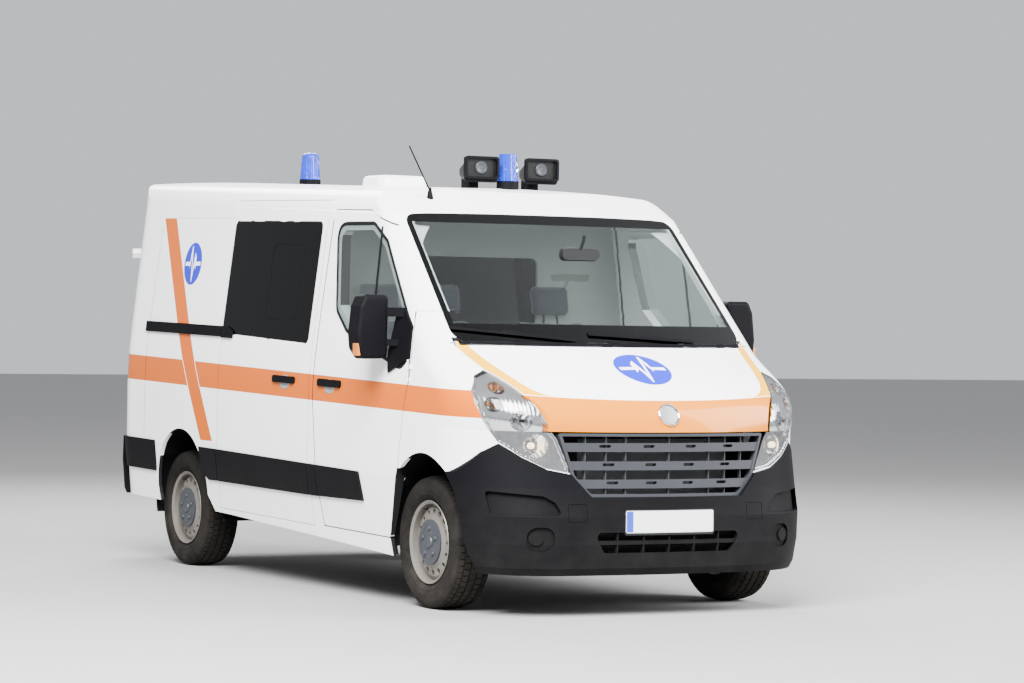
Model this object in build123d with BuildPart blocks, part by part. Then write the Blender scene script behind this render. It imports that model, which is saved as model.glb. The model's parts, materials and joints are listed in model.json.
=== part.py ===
from build123d import *
import math
import os

# Ambulance on a short, low roofed panel van, in millimetres.
# X runs to the vehicle's left, Y runs to its rear and Z runs up from the ground.
# The origin lies on the ground under the middle of the vehicle.

# Overall sizes
LENGTH = 5048.0
BODY_HALF_WIDTH = 1035.0
MIRROR_HALF_SPAN = 1235.0
WHEELBASE = 3182.0
FRONT_OVERHANG = 842.0
DATUM_Y = FRONT_OVERHANG - LENGTH / 2
REAR_END = LENGTH - FRONT_OVERHANG

# The body stands nose down, so its long lines climb to the rear by this slope
RAKE = math.tan(math.radians(1.1))
ROOF_SLOPE = 0.0374
ROOF_AT_AXLE = 2192.0

# Walls, gaps and seats
WALL = 60.0
SKIN = 22.0
SEAT_GAP = 0.3
DOOR_GAP = 6.0
PANEL_GAP = 3.0
GLASS = 6.0
GLASS_BOND = 40.0
TRIM_RISE = 12.0
SEAM_DEPTH = 4.0

# Wheels
TYRE_RADIUS = 345.0
TYRE_WIDTH = 225.0
RIM_RADIUS = 203.0
RIM_WIDTH = 180.0
HALF_TRACK_FRONT = 865.0
HALF_TRACK_REAR = 850.0
FRONT_WHEEL_AFT = -25.0
REAR_WHEEL_AFT = FRONT_WHEEL_AFT + WHEELBASE
STUB_RADIUS = 30.0
BORE_CLEARANCE = 0.05

# Wheel openings
FRONT_ARCH = {"aft": -72.0, "height": 463.0, "radius": 381.0, "front_foot": -520.0, "rear_foot": 305.0}
REAR_ARCH = {"aft": 3066.0, "height": 428.0, "radius": 368.0, "front_foot": 2545.0, "rear_foot": 3400.0}
ARCH_FOOT = 290.0
LINER = 4.0

# Steering pivot, leaning inwards as it rises
PIVOT_LOW = (790.0, 225.0)
PIVOT_TOP = (600.0, 950.0)

# Floor
FLOOR_TOP = 530.0
FLOOR_THICKNESS = 50.0
FLOOR_FRONT = -10.0


def aft(distance):
    """Y of a point this far behind the side view's datum, which is just behind the front axle."""
    return DATUM_Y + distance


def side(distance, height):
    """Side view point: behind the datum, and above the raked base line."""
    return (aft(distance), height + RAKE * aft(distance))


def roof_z(distance):
    return ROOF_AT_AXLE + ROOF_SLOPE * distance


# Outer body: level slices from the sill to above the roof.
# height, half width, nose, edge x, edge aft, tail, tail radius
LOWER_SLICES = [
    (150.0, 985.0, -833.0, 644.0, -733.0, 4122.0, 300.0),
    (420.0, 1008.0, -833.0, 644.0, -733.0, 4130.0, 300.0),
    (700.0, 1035.0, -833.0, 644.0, -733.0, 4130.0, 300.0),
    (986.0, 1035.0, -833.0, 644.0, -733.0, 4130.0, 300.0),
]
NOSE_SLICES = [
    (986.0, 1035.0, -833.0, 644.0, -733.0, 4130.0, 300.0),
    (1167.0, 1031.0, -745.0, 737.0, -620.0, 4130.0, 300.0),
    (1294.0, 1021.0, -560.0, 830.0, -359.0, 4130.0, 300.0),
    (1413.0, 1008.0, -310.0, 878.0, -123.0, 4130.0, 300.0),
]
CABIN_SLICES = [
    (1413.0, 1008.0, -310.0, 878.0, -123.0, 4130.0, 300.0),
    (2090.0, 921.0, 498.0, 828.0, 590.0, 4130.0, 280.0),
    (2400.0, 880.0, 1133.0, 790.0, 1220.0, 4130.0, 260.0),
]
# Front bumper, squarer in plan than the body
BUMPER_SLICES = [
    (262.0, 985.0, -800.0, 600.0, -760.0, 4130.0, 300.0),
    (300.0, 1000.0, -828.0, 600.0, -786.0, 4130.0, 300.0),
    (420.0, 1018.0, -842.0, 600.0, -803.0, 4130.0, 300.0),
    (560.0, 1027.0, -842.0, 600.0, -803.0, 4130.0, 300.0),
    (700.0, 1035.0, -838.0, 615.0, -775.0, 4130.0, 300.0),
    (960.0, 1035.0, -833.0, 644.0, -733.0, 4130.0, 300.0),
]


def slice_face(height, half_width, nose, edge_x, edge_aft, tail, tail_radius, inset):
    """One level slice: bowed nose, round front corners, straight sides, round tail."""
    bow = edge_aft - nose
    nose_radius = (edge_x**2 + bow**2) / (2 * bow)
    turn = math.asin(edge_x / nose_radius)
    corner = (half_width - edge_x) / (1 - math.sin(turn))
    side_start = edge_aft + corner * math.cos(turn)
    middle = (turn + math.pi / 2) / 2
    corner_x = half_width - corner + corner * math.sin(middle)
    corner_aft = side_start - corner * math.cos(middle)
    cut = tail_radius * (1 - math.sqrt(0.5))
    slope = math.hypot(1, RAKE)
    level = Plane((0, 0, height), x_dir=(1, 0, 0), z_dir=(0, -RAKE / slope, 1 / slope))
    with BuildSketch(level) as sliced:
        with BuildLine():
            nose_start = (-edge_x, aft(edge_aft))
            ThreePointArc(nose_start, (0, aft(nose)), (edge_x, aft(edge_aft)))
            for hand in (1, -1):
                front = (hand * half_width, aft(side_start))
                rear = (hand * half_width, aft(tail - tail_radius))
                end = (hand * (half_width - tail_radius), aft(tail))
                round_front = (hand * corner_x, aft(corner_aft))
                round_rear = (hand * (half_width - cut), aft(tail - cut))
                ThreePointArc((hand * edge_x, aft(edge_aft)), round_front, front)
                Line(front, rear)
                ThreePointArc(rear, round_rear, end)
            Line((half_width - tail_radius, aft(tail)), (tail_radius - half_width, aft(tail)))
        make_face()
        if inset:
            offset(amount=-inset)
    return sliced.sketch


# Roof rounding
HEADER_FOOT = 500.0
HEADER_DROP = 118.0
HEADER_TOP = 1000.0
TAIL_ROUND = 95.0
TAIL_FACE = REAR_END - 76.0
# The long roof profile clears the crown, so the two never graze each other
CROWN_CLEAR = 1.5
CROWN_HALF = 800.0
CROWN_DROP = 34.0
EDGE_DROP = 150.0
EDGE_HALF = 916.0
AHEAD = -1000.0
BEHIND = 4300.0


def body_block(inset):
    """The whole outer body as one solid, shrunk by the inset on every side."""
    with BuildPart() as block:
        for slices, straight in ((LOWER_SLICES, True), (NOSE_SLICES, False), (CABIN_SLICES, True)):
            loft([slice_face(*row, inset) for row in slices], ruled=straight)
        with BuildSketch(Plane.YZ):
            with BuildLine():
                foot = (aft(HEADER_FOOT), roof_z(HEADER_TOP) - HEADER_DROP - inset)
                front = (aft(HEADER_TOP), roof_z(HEADER_TOP) + CROWN_CLEAR - inset)
                rear_top = roof_z(TAIL_FACE - TAIL_ROUND) + CROWN_CLEAR - inset
                rear = (aft(TAIL_FACE - TAIL_ROUND), rear_top)
                end = (aft(TAIL_FACE), rear_top - TAIL_ROUND)
                TangentArc(front, foot, tangent=(-1, -ROOF_SLOPE))
                Line(front, rear)
                TangentArc(rear, end, tangent=(1, ROOF_SLOPE))
                low = (aft(BEHIND), 0)
                Polyline(end, (aft(BEHIND), end[1] - 200), low, (aft(AHEAD), 0), (aft(AHEAD), foot[1] - 200), foot)
            make_face()
        extrude(amount=1200, both=True, mode=Mode.INTERSECT)
        crown = Plane((0, aft(AHEAD), roof_z(AHEAD) - inset), x_dir=(1, 0, 0), z_dir=(0, -1, 0))
        with BuildSketch(crown):
            with BuildLine():
                ThreePointArc((-CROWN_HALF, -CROWN_DROP), (0, 0), (CROWN_HALF, -CROWN_DROP))
                for hand in (1, -1):
                    edge = (hand * (EDGE_HALF - inset), -EDGE_DROP)
                    TangentArc((hand * CROWN_HALF, -CROWN_DROP), edge, tangent=(hand, -0.085))
                    Polyline(edge, (hand * 1100, -300), (hand * 1100, -2300))
                Line((1100, -2300), (-1100, -2300))
            make_face()
        climb = math.hypot(1, ROOF_SLOPE)
        extrude(amount=5400, dir=(0, 1 / climb, ROOF_SLOPE / climb), mode=Mode.INTERSECT)
    return block.part


def bumper_block(inset):
    """The front bumper's outer form, filled."""
    with BuildPart() as block:
        loft([slice_face(*row, inset) for row in BUMPER_SLICES], ruled=True)
    return block.part


OUTER = body_block(0)
INNER = body_block(WALL)
FITTED = body_block(WALL + SEAT_GAP)
SKIN_INNER = body_block(SKIN)
GLASS_INNER = body_block(GLASS)
HOUSING_BACK = body_block(WALL + 8)
GLASS_SEAT = body_block(GLASS + SEAT_GAP)
SEATED = body_block(-SEAT_GAP)
RAISED = body_block(-TRIM_RISE)
SEAM_FLOOR = body_block(SEAM_DEPTH)


def side_outline(points, radius=0.0, grow=0.0):
    """A closed outline in the side view, its corners rounded, grown or shrunk."""
    with BuildSketch(Plane.YZ) as drawn:
        with BuildLine():
            Polyline(*[side(*point) for point in points], close=True)
        make_face()
        if radius:
            fillet(drawn.vertices(), radius)
        if grow:
            offset(amount=grow)
    return drawn.sketch


def front_outline(points, radius=0.0, grow=0.0):
    """A closed outline in the front view, as x and z."""
    with BuildSketch(Plane.XZ) as drawn:
        with BuildLine():
            Polyline(*points, close=True)
        make_face()
        if radius:
            fillet(drawn.vertices(), radius)
        if grow:
            offset(amount=grow)
    return drawn.sketch


def plan_outline(points, radius=0.0, grow=0.0):
    """A closed outline in plan, as x and distance behind the front axle."""
    with BuildSketch(Plane.XY) as drawn:
        with BuildLine():
            Polyline(*[(x, aft(y)) for x, y in points], close=True)
        make_face()
        if radius:
            fillet(drawn.vertices(), radius)
        if grow:
            offset(amount=grow)
    return drawn.sketch


def mirrored(points):
    """Both halves of a symmetrical outline, given its half at positive x."""
    return points + [(-x, y) for x, y in reversed(points)]


# Outlines in the side view: behind the front axle, above the raked base line
FRONT_DOOR = [
    (330, 376), (196, 784), (151, 1047), (101, 1226), (97, 1330), (108, 1486), (145, 1568),
    (540, 2015), (785, 2094), (1219, 2098), (1239, 1168), (1237, 1053), (1190, 699), (1164, 526), (1120, 376),
]
FRONT_WINDOW = [
    (1165, 2025), (720, 2030), (541, 1937), (128, 1480), (120, 1330), (200, 1262), (432, 1318), (897, 1442), (1048, 1552),
]
WINDOW_RADIUS = 90.0
SLIDING_DOOR = [(1295, 2152), (2520, 2152), (2520, 366), (1250, 366), (1295, 640)]
DOOR_REAR_STEP = [(1203, 2200), (1223, 1168), (1221, 1053), (1174, 699), (1120, 366), (1400, 366), (1400, 2200)]
SLIDING_WINDOW = [(1355, 2032), (2515, 2036), (2515, 1382), (1355, 1358)]
UPPER_BODY = [
    (4300, 2156.3), (1251.6, 2156.3), (1229.4, 2104), (785, 2101), (536, 2021), (139, 1572), (-700, 1572), (-700, 2600),
    (4300, 2600),
]
SIDE_WALL = [
    (4300, 2156), (1252, 2156), (1229.8, 2104), (1247, 1168), (1245, 1053), (1198, 699), (1172, 526), (1126, 370), (330, 370),
    (306, 280), (1000, 300), (2416, 336), (4300, 352),
]
WING = [
    (-1000, 100), (326, 100), (326, 376), (192, 784), (147, 1047), (97, 1226), (93, 1330), (104, 1486), (137, 1570), (-1000, 1570),
]
REAR_DOOR_HALF = 872.0
REAR_DOOR_LOW = 590.0
REAR_DOOR_TOP = 2146.0
TAIL_LAMP_LOW = 715.0
TAIL_LAMP_TOP = 1130.0
TAIL_LAMP_FRONT = 3950.0

# Outlines in the front view: x and z
WINDSCREEN = mirrored([(879, 1387), (830, 2058), (700, 2066), (350, 2070)])
LAMP_OUTSIDE = [(549, 733), (673, 757), (785, 817), (877, 888), (933, 993), (953, 1078), (951, 1143), (905, 1215), (833, 1250)]
LAMP_INSIDE = [(806, 1215), (738, 1126), (693, 1036), (648, 940), (622, 910), (575, 800)]
HEADLAMP = LAMP_OUTSIDE + LAMP_INSIDE
NOSE_OPEN = mirrored([(300, 560), (560, 560)] + LAMP_OUTSIDE)
BUMPER_LINE = [(1100, 690), (1016, 728), (935, 832), (873, 878), (785, 811), (673, 751), (549, 727), (518, 690), (445, 612)]
BUMPER = mirrored([(1100, 100)] + BUMPER_LINE)
GRILLE = mirrored([(445, 612), (518, 690), (539, 715), (611, 934)])
# Bonnet in plan: x and distance behind the front axle
BONNET = mirrored([(883, -100), (881, -147), (838, -365), (740, -620), (648, -737), (636, -950)])
SCUTTLE_ZONE = mirrored([(872, -60), (872, -700)])
BONNET_LIP = 988.0
BONNET_REAR = 1403.0
SCUTTLE_TOP = 1423.0
COWL_CUT_TOP = 1440.0

FAR = 1400.0


def arch_cut(arch, grow=0.0):
    """A wheel opening through one side, round above and open below."""
    middle, height, radius = arch["aft"], arch["height"], arch["radius"]
    with BuildSketch(Plane.YZ) as drawn:
        with BuildLine():
            front, rear = side(middle - radius, height), side(middle + radius, height)
            ThreePointArc(front, side(middle, height + radius), rear)
            foot, toe = side(arch["rear_foot"], ARCH_FOOT), side(arch["front_foot"], ARCH_FOOT)
            Polyline(rear, foot, (foot[0], -200), (toe[0], -200), toe, front)
        make_face()
        if grow:
            offset(amount=grow)
    return drawn.sketch


def write(piece, name):
    piece.part.label = name
    export_step(piece.part, f"parts/{name}.step")


os.makedirs("parts", exist_ok=True)

def shell_piece(outline, reach, inside, both=False):
    """The part of the outer body behind an outline, down to an inner body."""
    with BuildPart() as piece:
        add(OUTER)
        extrude(outline, amount=reach, both=both, mode=Mode.INTERSECT)
        add(inside, mode=Mode.SUBTRACT)
    return piece.part


def mirror_image(part):
    with BuildPart() as image:
        mirror(part, about=Plane.YZ)
    return image


def block_between(x_low, x_high, aft_low, aft_high, z_low, z_high):
    """A plain block between given places."""
    size = (x_high - x_low, aft_high - aft_low, z_high - z_low)
    middle = ((x_low + x_high) / 2, aft((aft_low + aft_high) / 2), (z_low + z_high) / 2)
    with BuildPart() as block:
        with Locations(middle):
            Box(*size)
    return block.part


# Front doors: one thick panel with its window cut and a seat for the bonded glass
glass_seat = shell_piece(side_outline(FRONT_WINDOW, WINDOW_RADIUS), -FAR, GLASS_SEAT)
with BuildPart() as front_door_right:
    add(shell_piece(side_outline(FRONT_DOOR, 20), -FAR, INNER))
    extrude(side_outline(FRONT_WINDOW, WINDOW_RADIUS, -GLASS_BOND), amount=-FAR, mode=Mode.SUBTRACT)
    add(glass_seat, mode=Mode.SUBTRACT)
    with BuildPart(mode=Mode.SUBTRACT):
        add(SKIN_INNER)
        extrude(side_outline(DOOR_REAR_STEP), amount=-FAR, mode=Mode.INTERSECT)
with BuildPart() as door_glass_right:
    add(shell_piece(side_outline(FRONT_WINDOW, WINDOW_RADIUS, -SEAT_GAP), -FAR, GLASS_INNER))
front_door_left = mirror_image(front_door_right.part)
door_glass_left = mirror_image(door_glass_right.part)
write(door_glass_right, "door_glass_right")
write(door_glass_left, "door_glass_left")

# Upper body: roof, header and front pillars in one frame around the windscreen
SCREEN_REACH = 2600
with BuildPart() as roof:
    add(shell_piece(side_outline(UPPER_BODY), FAR, INNER, both=True))
    extrude(front_outline(WINDSCREEN, 60, -GLASS_BOND), amount=SCREEN_REACH, mode=Mode.SUBTRACT)
    add(shell_piece(front_outline(WINDSCREEN, 60), SCREEN_REACH, GLASS_SEAT), mode=Mode.SUBTRACT)
with BuildPart() as windscreen:
    add(shell_piece(front_outline(WINDSCREEN, 60, -SEAT_GAP), SCREEN_REACH, GLASS_INNER))
write(roof, "roof")
write(windscreen, "windscreen")

# Bonnet and scuttle
BONNET_BAND = [(-1200, BONNET_LIP), (900, BONNET_LIP), (900, BONNET_REAR), (-1200, BONNET_REAR)]
SCUTTLE_LOW = BONNET_REAR + DOOR_GAP
SCUTTLE_BAND = [(-700, SCUTTLE_LOW), (200, SCUTTLE_LOW), (200, SCUTTLE_TOP), (-700, SCUTTLE_TOP)]
COWL_CUT = [(-700, SCUTTLE_LOW), (200, SCUTTLE_LOW), (200, COWL_CUT_TOP), (-700, COWL_CUT_TOP)]
SCUTTLE_HALF = 850.0
SCUTTLE_OPEN = 886.0
BONNET_REACH = 2 * FAR
BONNET_REAR_GAP = 8.0
BONNET_REAR_SLICE = (1409.0, 1008.4, -319.0, 876.5, -131.0, 4130.0, 300.0)
with BuildPart() as bonnet:
    add(shell_piece(side_outline(BONNET_BAND), FAR, SKIN_INNER, both=True))
    extrude(plan_outline(BONNET), amount=BONNET_REACH, mode=Mode.INTERSECT)
    extrude(slice_face(*BONNET_REAR_SLICE, -BONNET_REAR_GAP), amount=-120, mode=Mode.SUBTRACT)
with BuildPart() as bonnet_hole:
    extrude(plan_outline(BONNET, 0, DOOR_GAP), amount=BONNET_REACH)
    extrude(side_outline(BONNET_BAND, 0, DOOR_GAP), amount=FAR, both=True, mode=Mode.INTERSECT)
with BuildPart() as scuttle:
    add(shell_piece(side_outline(SCUTTLE_BAND), SCUTTLE_HALF, SKIN_INNER, both=True))
    extrude(plan_outline(SCUTTLE_ZONE), amount=BONNET_REACH, mode=Mode.INTERSECT)
    extrude(front_outline(WINDSCREEN, 60, SEAT_GAP), amount=SCREEN_REACH, mode=Mode.SUBTRACT)
write(scuttle, "scuttle")

# Front wings, open round the wheel, the lamp, the bonnet and the bumper
with BuildPart() as wing_left:
    add(shell_piece(side_outline(WING), FAR, SKIN_INNER))
    add(bonnet_hole.part, mode=Mode.SUBTRACT)
    extrude(side_outline(COWL_CUT, 0, SEAT_GAP), amount=SCUTTLE_OPEN, mode=Mode.SUBTRACT)
    extrude(front_outline(WINDSCREEN, 60, SEAT_GAP), amount=SCREEN_REACH, mode=Mode.SUBTRACT)
    extrude(front_outline(NOSE_OPEN, 0, SEAT_GAP), amount=SCREEN_REACH, mode=Mode.SUBTRACT)
    extrude(front_outline(BUMPER, 0, SEAT_GAP), amount=SCREEN_REACH, mode=Mode.SUBTRACT)
    extrude(arch_cut(FRONT_ARCH), amount=FAR, mode=Mode.SUBTRACT)

# Bonnet hinges: a lug under each rear corner on a pin from the wing
BONNET_AXIS = (-115.0, 1378.0)
BONNET_PIN = 5.0
BONNET_LUG = 9.0
BONNET_LUG_X = (860.0, 872.0)
BONNET_PIN_X = (856.0, 905.0)
BONNET_ARM = [(-112, 1369), (-185, 1318), (-185, 1336), (-120, 1386)]


def across_plane(x):
    return Plane((x, aft(BONNET_AXIS[0]), BONNET_AXIS[1]), x_dir=(0, 1, 0), z_dir=(1, 0, 0))


with BuildPart() as bonnet_lug:
    with BuildSketch(Plane.YZ.offset(BONNET_LUG_X[0])):
        with BuildLine():
            Polyline(*[(aft(d), z) for d, z in BONNET_ARM], close=True)
        make_face()
        with Locations((aft(BONNET_AXIS[0]), BONNET_AXIS[1])):
            Circle(BONNET_LUG)
            Circle(BONNET_PIN + BORE_CLEARANCE, mode=Mode.SUBTRACT)
    extrude(amount=BONNET_LUG_X[1] - BONNET_LUG_X[0])
with BuildPart() as bonnet_pin:
    with BuildSketch(across_plane(BONNET_PIN_X[0])):
        Circle(BONNET_PIN)
    extrude(amount=BONNET_PIN_X[1] - BONNET_PIN_X[0])
with BuildPart() as bonnet_whole:
    add(bonnet.part)
    add(bonnet_lug.part)
    mirror(bonnet_lug.part, about=Plane.YZ)
write(bonnet_whole, "bonnet")

# Front bumper with its lower grille
LOWER_GRILLE = mirrored([(377, 329), (436, 434)])
BUMPER_WALL = 35.0
BUMPER_END = -250.0
BUMPER_OUTER = bumper_block(0)
BUMPER_INNER = bumper_block(BUMPER_WALL)
BUMPER_FIT = bumper_block(BUMPER_WALL + SEAT_GAP)
LOWER_BAR = (372.0, 392.0)
LOWER_BAR_FACE = bumper_block(9)
LOWER_BAR_BACK = bumper_block(BUMPER_WALL - 5)
LOWER_RIBS = [-300, -150, 0, 150, 300]
with BuildPart() as front_bumper:
    add(BUMPER_OUTER)
    add(BUMPER_INNER, mode=Mode.SUBTRACT)
    extrude(front_outline(BUMPER), amount=SCREEN_REACH, mode=Mode.INTERSECT)
    extrude(side_outline([(-1000, 0), (BUMPER_END, 0), (BUMPER_END, 1200), (-1000, 1200)]), amount=FAR, both=True,
            mode=Mode.INTERSECT)
    extrude(arch_cut(FRONT_ARCH), amount=FAR, both=True, mode=Mode.SUBTRACT)
    extrude(front_outline(LOWER_GRILLE, 25), amount=SCREEN_REACH, mode=Mode.SUBTRACT)
with BuildPart() as lower_bars:
    add(LOWER_BAR_FACE)
    add(LOWER_BAR_BACK, mode=Mode.SUBTRACT)
    with BuildSketch(Plane.XZ):
        with Locations((0, sum(LOWER_BAR) / 2)):
            Rectangle(840, LOWER_BAR[1] - LOWER_BAR[0])
        with Locations(*[(x, sum(LOWER_GRILLE[0][1:] + LOWER_GRILLE[1][1:]) / 2) for x in LOWER_RIBS]):
            Rectangle(8, 110)
    extrude(amount=SCREEN_REACH, mode=Mode.INTERSECT)

# Bumper details on each side: an air scoop, a round cap in an oval dish, and a tow eye cover
SCOOP = [(936, 640), (699, 618), (642, 586), (609, 522), (925, 522)]
SCOOP_FLOOR = bumper_block(24)
DISH = {"x": 715.0, "z": 401.0, "across": 66.0, "up": 61.0, "corner": 50.0}
DISH_FLOOR = bumper_block(14)
CAP = {"x": 738.0, "z": 405.0, "radius": 34.0}
CAP_FACE = bumper_block(5)
TOW_COVER = [(475, 488), (579, 488), (579, 578), (475, 578)]
TOW_SEAM = 3.0
TOW_SEAM_FLOOR = bumper_block(TOW_SEAM)
with BuildPart() as bumper_cuts:
    with BuildPart(mode=Mode.PRIVATE) as scoop:
        extrude(front_outline(SCOOP, 14), amount=SCREEN_REACH)
        add(SCOOP_FLOOR, mode=Mode.SUBTRACT)
    with BuildPart(mode=Mode.PRIVATE) as dish:
        with BuildSketch(Plane.XZ):
            with Locations((DISH["x"], DISH["z"])):
                RectangleRounded(2 * DISH["across"], 2 * DISH["up"], DISH["corner"])
        extrude(amount=SCREEN_REACH)
        add(DISH_FLOOR, mode=Mode.SUBTRACT)
    with BuildPart(mode=Mode.PRIVATE) as tow_seam:
        with BuildSketch(Plane.XZ):
            add(front_outline(TOW_COVER, 10))
            add(front_outline(TOW_COVER, 10, -TOW_SEAM), mode=Mode.SUBTRACT)
        extrude(amount=SCREEN_REACH)
        add(TOW_SEAM_FLOOR, mode=Mode.SUBTRACT)
    add(scoop.part)
    add(dish.part)
    add(tow_seam.part)
    mirror(about=Plane.YZ)
with BuildPart() as round_caps:
    with BuildSketch(Plane.XZ):
        with Locations((CAP["x"], CAP["z"]), (-CAP["x"], CAP["z"])):
            Circle(CAP["radius"])
    extrude(amount=SCREEN_REACH)
    add(CAP_FACE, mode=Mode.INTERSECT)
    add(BUMPER_INNER, mode=Mode.SUBTRACT)
with BuildPart() as front_bumper_whole:
    add(front_bumper.part)
    add(bumper_cuts.part, mode=Mode.SUBTRACT)
    add(round_caps.part)
    add(lower_bars.part)
write(front_bumper_whole, "front_bumper")

# Upper grille: a frame, three slotted bars and thin ribs set back behind them
GRILLE_FRAME = 15.0
GRILLE_BACK = body_block(40)
RIB_FACE = body_block(16)
GRILLE_BAR_HEIGHT = 44.0
# height of the bar's middle, and the places of its inner and outer slots
GRILLE_BARS = [(863, 125, 367), (770, 113, 347), (678, 109, 325)]
SLOT_SIZE = (64.0, 15.0)
SLOT_RISE = 6.0
GRILLE_RIBS = [-465, -355, -248, 0, 248, 355, 465]
RIB_WIDTH = 5.0
with BuildPart() as grille_frame:
    add(shell_piece(front_outline(GRILLE, 12, -SEAT_GAP), SCREEN_REACH, GRILLE_BACK))
    extrude(front_outline(GRILLE, 12, -GRILLE_FRAME), amount=SCREEN_REACH, mode=Mode.SUBTRACT)
with BuildPart() as grille_bars:
    extrude(front_outline(GRILLE, 12, -SEAT_GAP), amount=SCREEN_REACH)
    with BuildSketch(Plane.XZ):
        with Locations(*[(0, z) for z, _, _ in GRILLE_BARS]):
            Rectangle(1400, GRILLE_BAR_HEIGHT)
        for z, inner, outer in GRILLE_BARS:
            with Locations(*[(x, z + SLOT_RISE) for x in (-outer, -inner, inner, outer)]):
                RectangleRounded(*SLOT_SIZE, 6, mode=Mode.SUBTRACT)
    extrude(amount=SCREEN_REACH, mode=Mode.INTERSECT)
    add(SEAM_FLOOR, mode=Mode.INTERSECT)
    add(GRILLE_BACK, mode=Mode.SUBTRACT)
with BuildPart() as grille_ribs:
    extrude(front_outline(GRILLE, 12, -SEAT_GAP), amount=SCREEN_REACH)
    with BuildSketch(Plane.XZ):
        with Locations(*[(x, 770) for x in GRILLE_RIBS]):
            Rectangle(RIB_WIDTH, 400)
    extrude(amount=SCREEN_REACH, mode=Mode.INTERSECT)
    add(RIB_FACE, mode=Mode.INTERSECT)
    add(GRILLE_BACK, mode=Mode.SUBTRACT)
with BuildPart() as grille:
    add(grille_frame.part)
    add(grille_bars.part)
    add(grille_ribs.part)
write(grille, "grille")

# Headlamps: a clear lens over a solid reflector block with four tapered bowls
LAMP_BACK = body_block(120)
LAMP_RIM = 10.0
LAMP_END = -395.0
BOWL_DEPTH = 70.0
BOWL_REACH = 260.0
# x, height, mouth radius, floor radius, and how far back the bowl's floor is
LAMP_BOWLS = [(722, 868, 70, 34, -640), (784, 992, 56, 26, -590), (884, 1075, 40, 20, -480), (846, 1158, 36, 18, -430)]
with BuildPart() as lens_left:
    add(shell_piece(front_outline(HEADLAMP, 12, -SEAT_GAP), SCREEN_REACH, GLASS_INNER))
    add(bonnet_hole.part, mode=Mode.SUBTRACT)
with BuildPart() as lamp_bowls:
    for x, z, mouth, floor, back in LAMP_BOWLS:
        for distance, radius in ((back, floor), (back - BOWL_DEPTH, mouth)):
            with BuildSketch(Plane((x, aft(distance), z), x_dir=(1, 0, 0), z_dir=(0, -1, 0))):
                Circle(radius)
        loft()
        with BuildSketch(Plane((x, aft(back - BOWL_DEPTH), z), x_dir=(1, 0, 0), z_dir=(0, -1, 0))):
            Circle(mouth)
        extrude(amount=BOWL_REACH)
with BuildPart() as housing_left:
    add(GLASS_SEAT)
    extrude(front_outline(HEADLAMP, 12, -SEAT_GAP), amount=SCREEN_REACH, mode=Mode.INTERSECT)
    add(LAMP_BACK, mode=Mode.SUBTRACT)
    add(block_between(0, FAR, -FAR, LAMP_END, 0, FAR), mode=Mode.INTERSECT)
    add(bonnet_hole.part, mode=Mode.SUBTRACT)
    add(shell_piece(front_outline(HEADLAMP, 12, -LAMP_RIM), SCREEN_REACH, RIB_FACE), mode=Mode.SUBTRACT)
    add(lamp_bowls.part, mode=Mode.SUBTRACT)
with BuildPart() as headlamp_lenses:
    add(lens_left.part)
    mirror(lens_left.part, about=Plane.YZ)
with BuildPart() as headlamps:
    add(housing_left.solids().sort_by(SortBy.VOLUME)[-1])
    mirror(about=Plane.YZ)
write(headlamp_lenses, "headlamp_lenses")
write(headlamps, "headlamps")

# Room for the wheels
LINER_FOOT = 300.0
FRONT_LINER_RADIUS = 396.0
REAR_LINER_RADIUS = 380.0
WHEEL_ROOM_REACH = 980.0


def wheel_room(aft_of, radius, reach):
    """The round space that a wheel needs, on the left."""
    with BuildPart() as room:
        with BuildSketch(Plane.YZ):
            with Locations((aft(aft_of), TYRE_RADIUS)):
                Circle(radius)
        extrude(amount=reach)
    return room.part


# Hinges: a pin on the body in the bore of the leaf that turns
PIN_RATIO = 0.5


def hinge_leaves(axis_x, axis_aft, barrel, length, heights, body_leaf, door_leaf):
    """The still and the turning halves of a row of upright hinges on the left."""
    with BuildPart() as still:
        for z in heights:
            with BuildSketch(Plane.XY.offset(z - length)):
                with Locations((axis_x, aft(axis_aft))):
                    Circle(barrel)
                add(plan_outline(body_leaf))
            extrude(amount=length - SEAT_GAP)
            add(INNER, mode=Mode.SUBTRACT)
            with BuildSketch(Plane.XY.offset(z - length)):
                with Locations((axis_x, aft(axis_aft))):
                    Circle(barrel * PIN_RATIO)
            extrude(amount=2 * length)
    with BuildPart() as turning:
        for z in heights:
            with BuildSketch(Plane.XY.offset(z)):
                with Locations((axis_x, aft(axis_aft))):
                    Circle(barrel)
                add(plan_outline(door_leaf))
                with Locations((axis_x, aft(axis_aft))):
                    Circle(barrel * PIN_RATIO + BORE_CLEARANCE, mode=Mode.SUBTRACT)
            extrude(amount=length)
            add(INNER, mode=Mode.SUBTRACT)
    return still.part, turning.part


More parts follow.
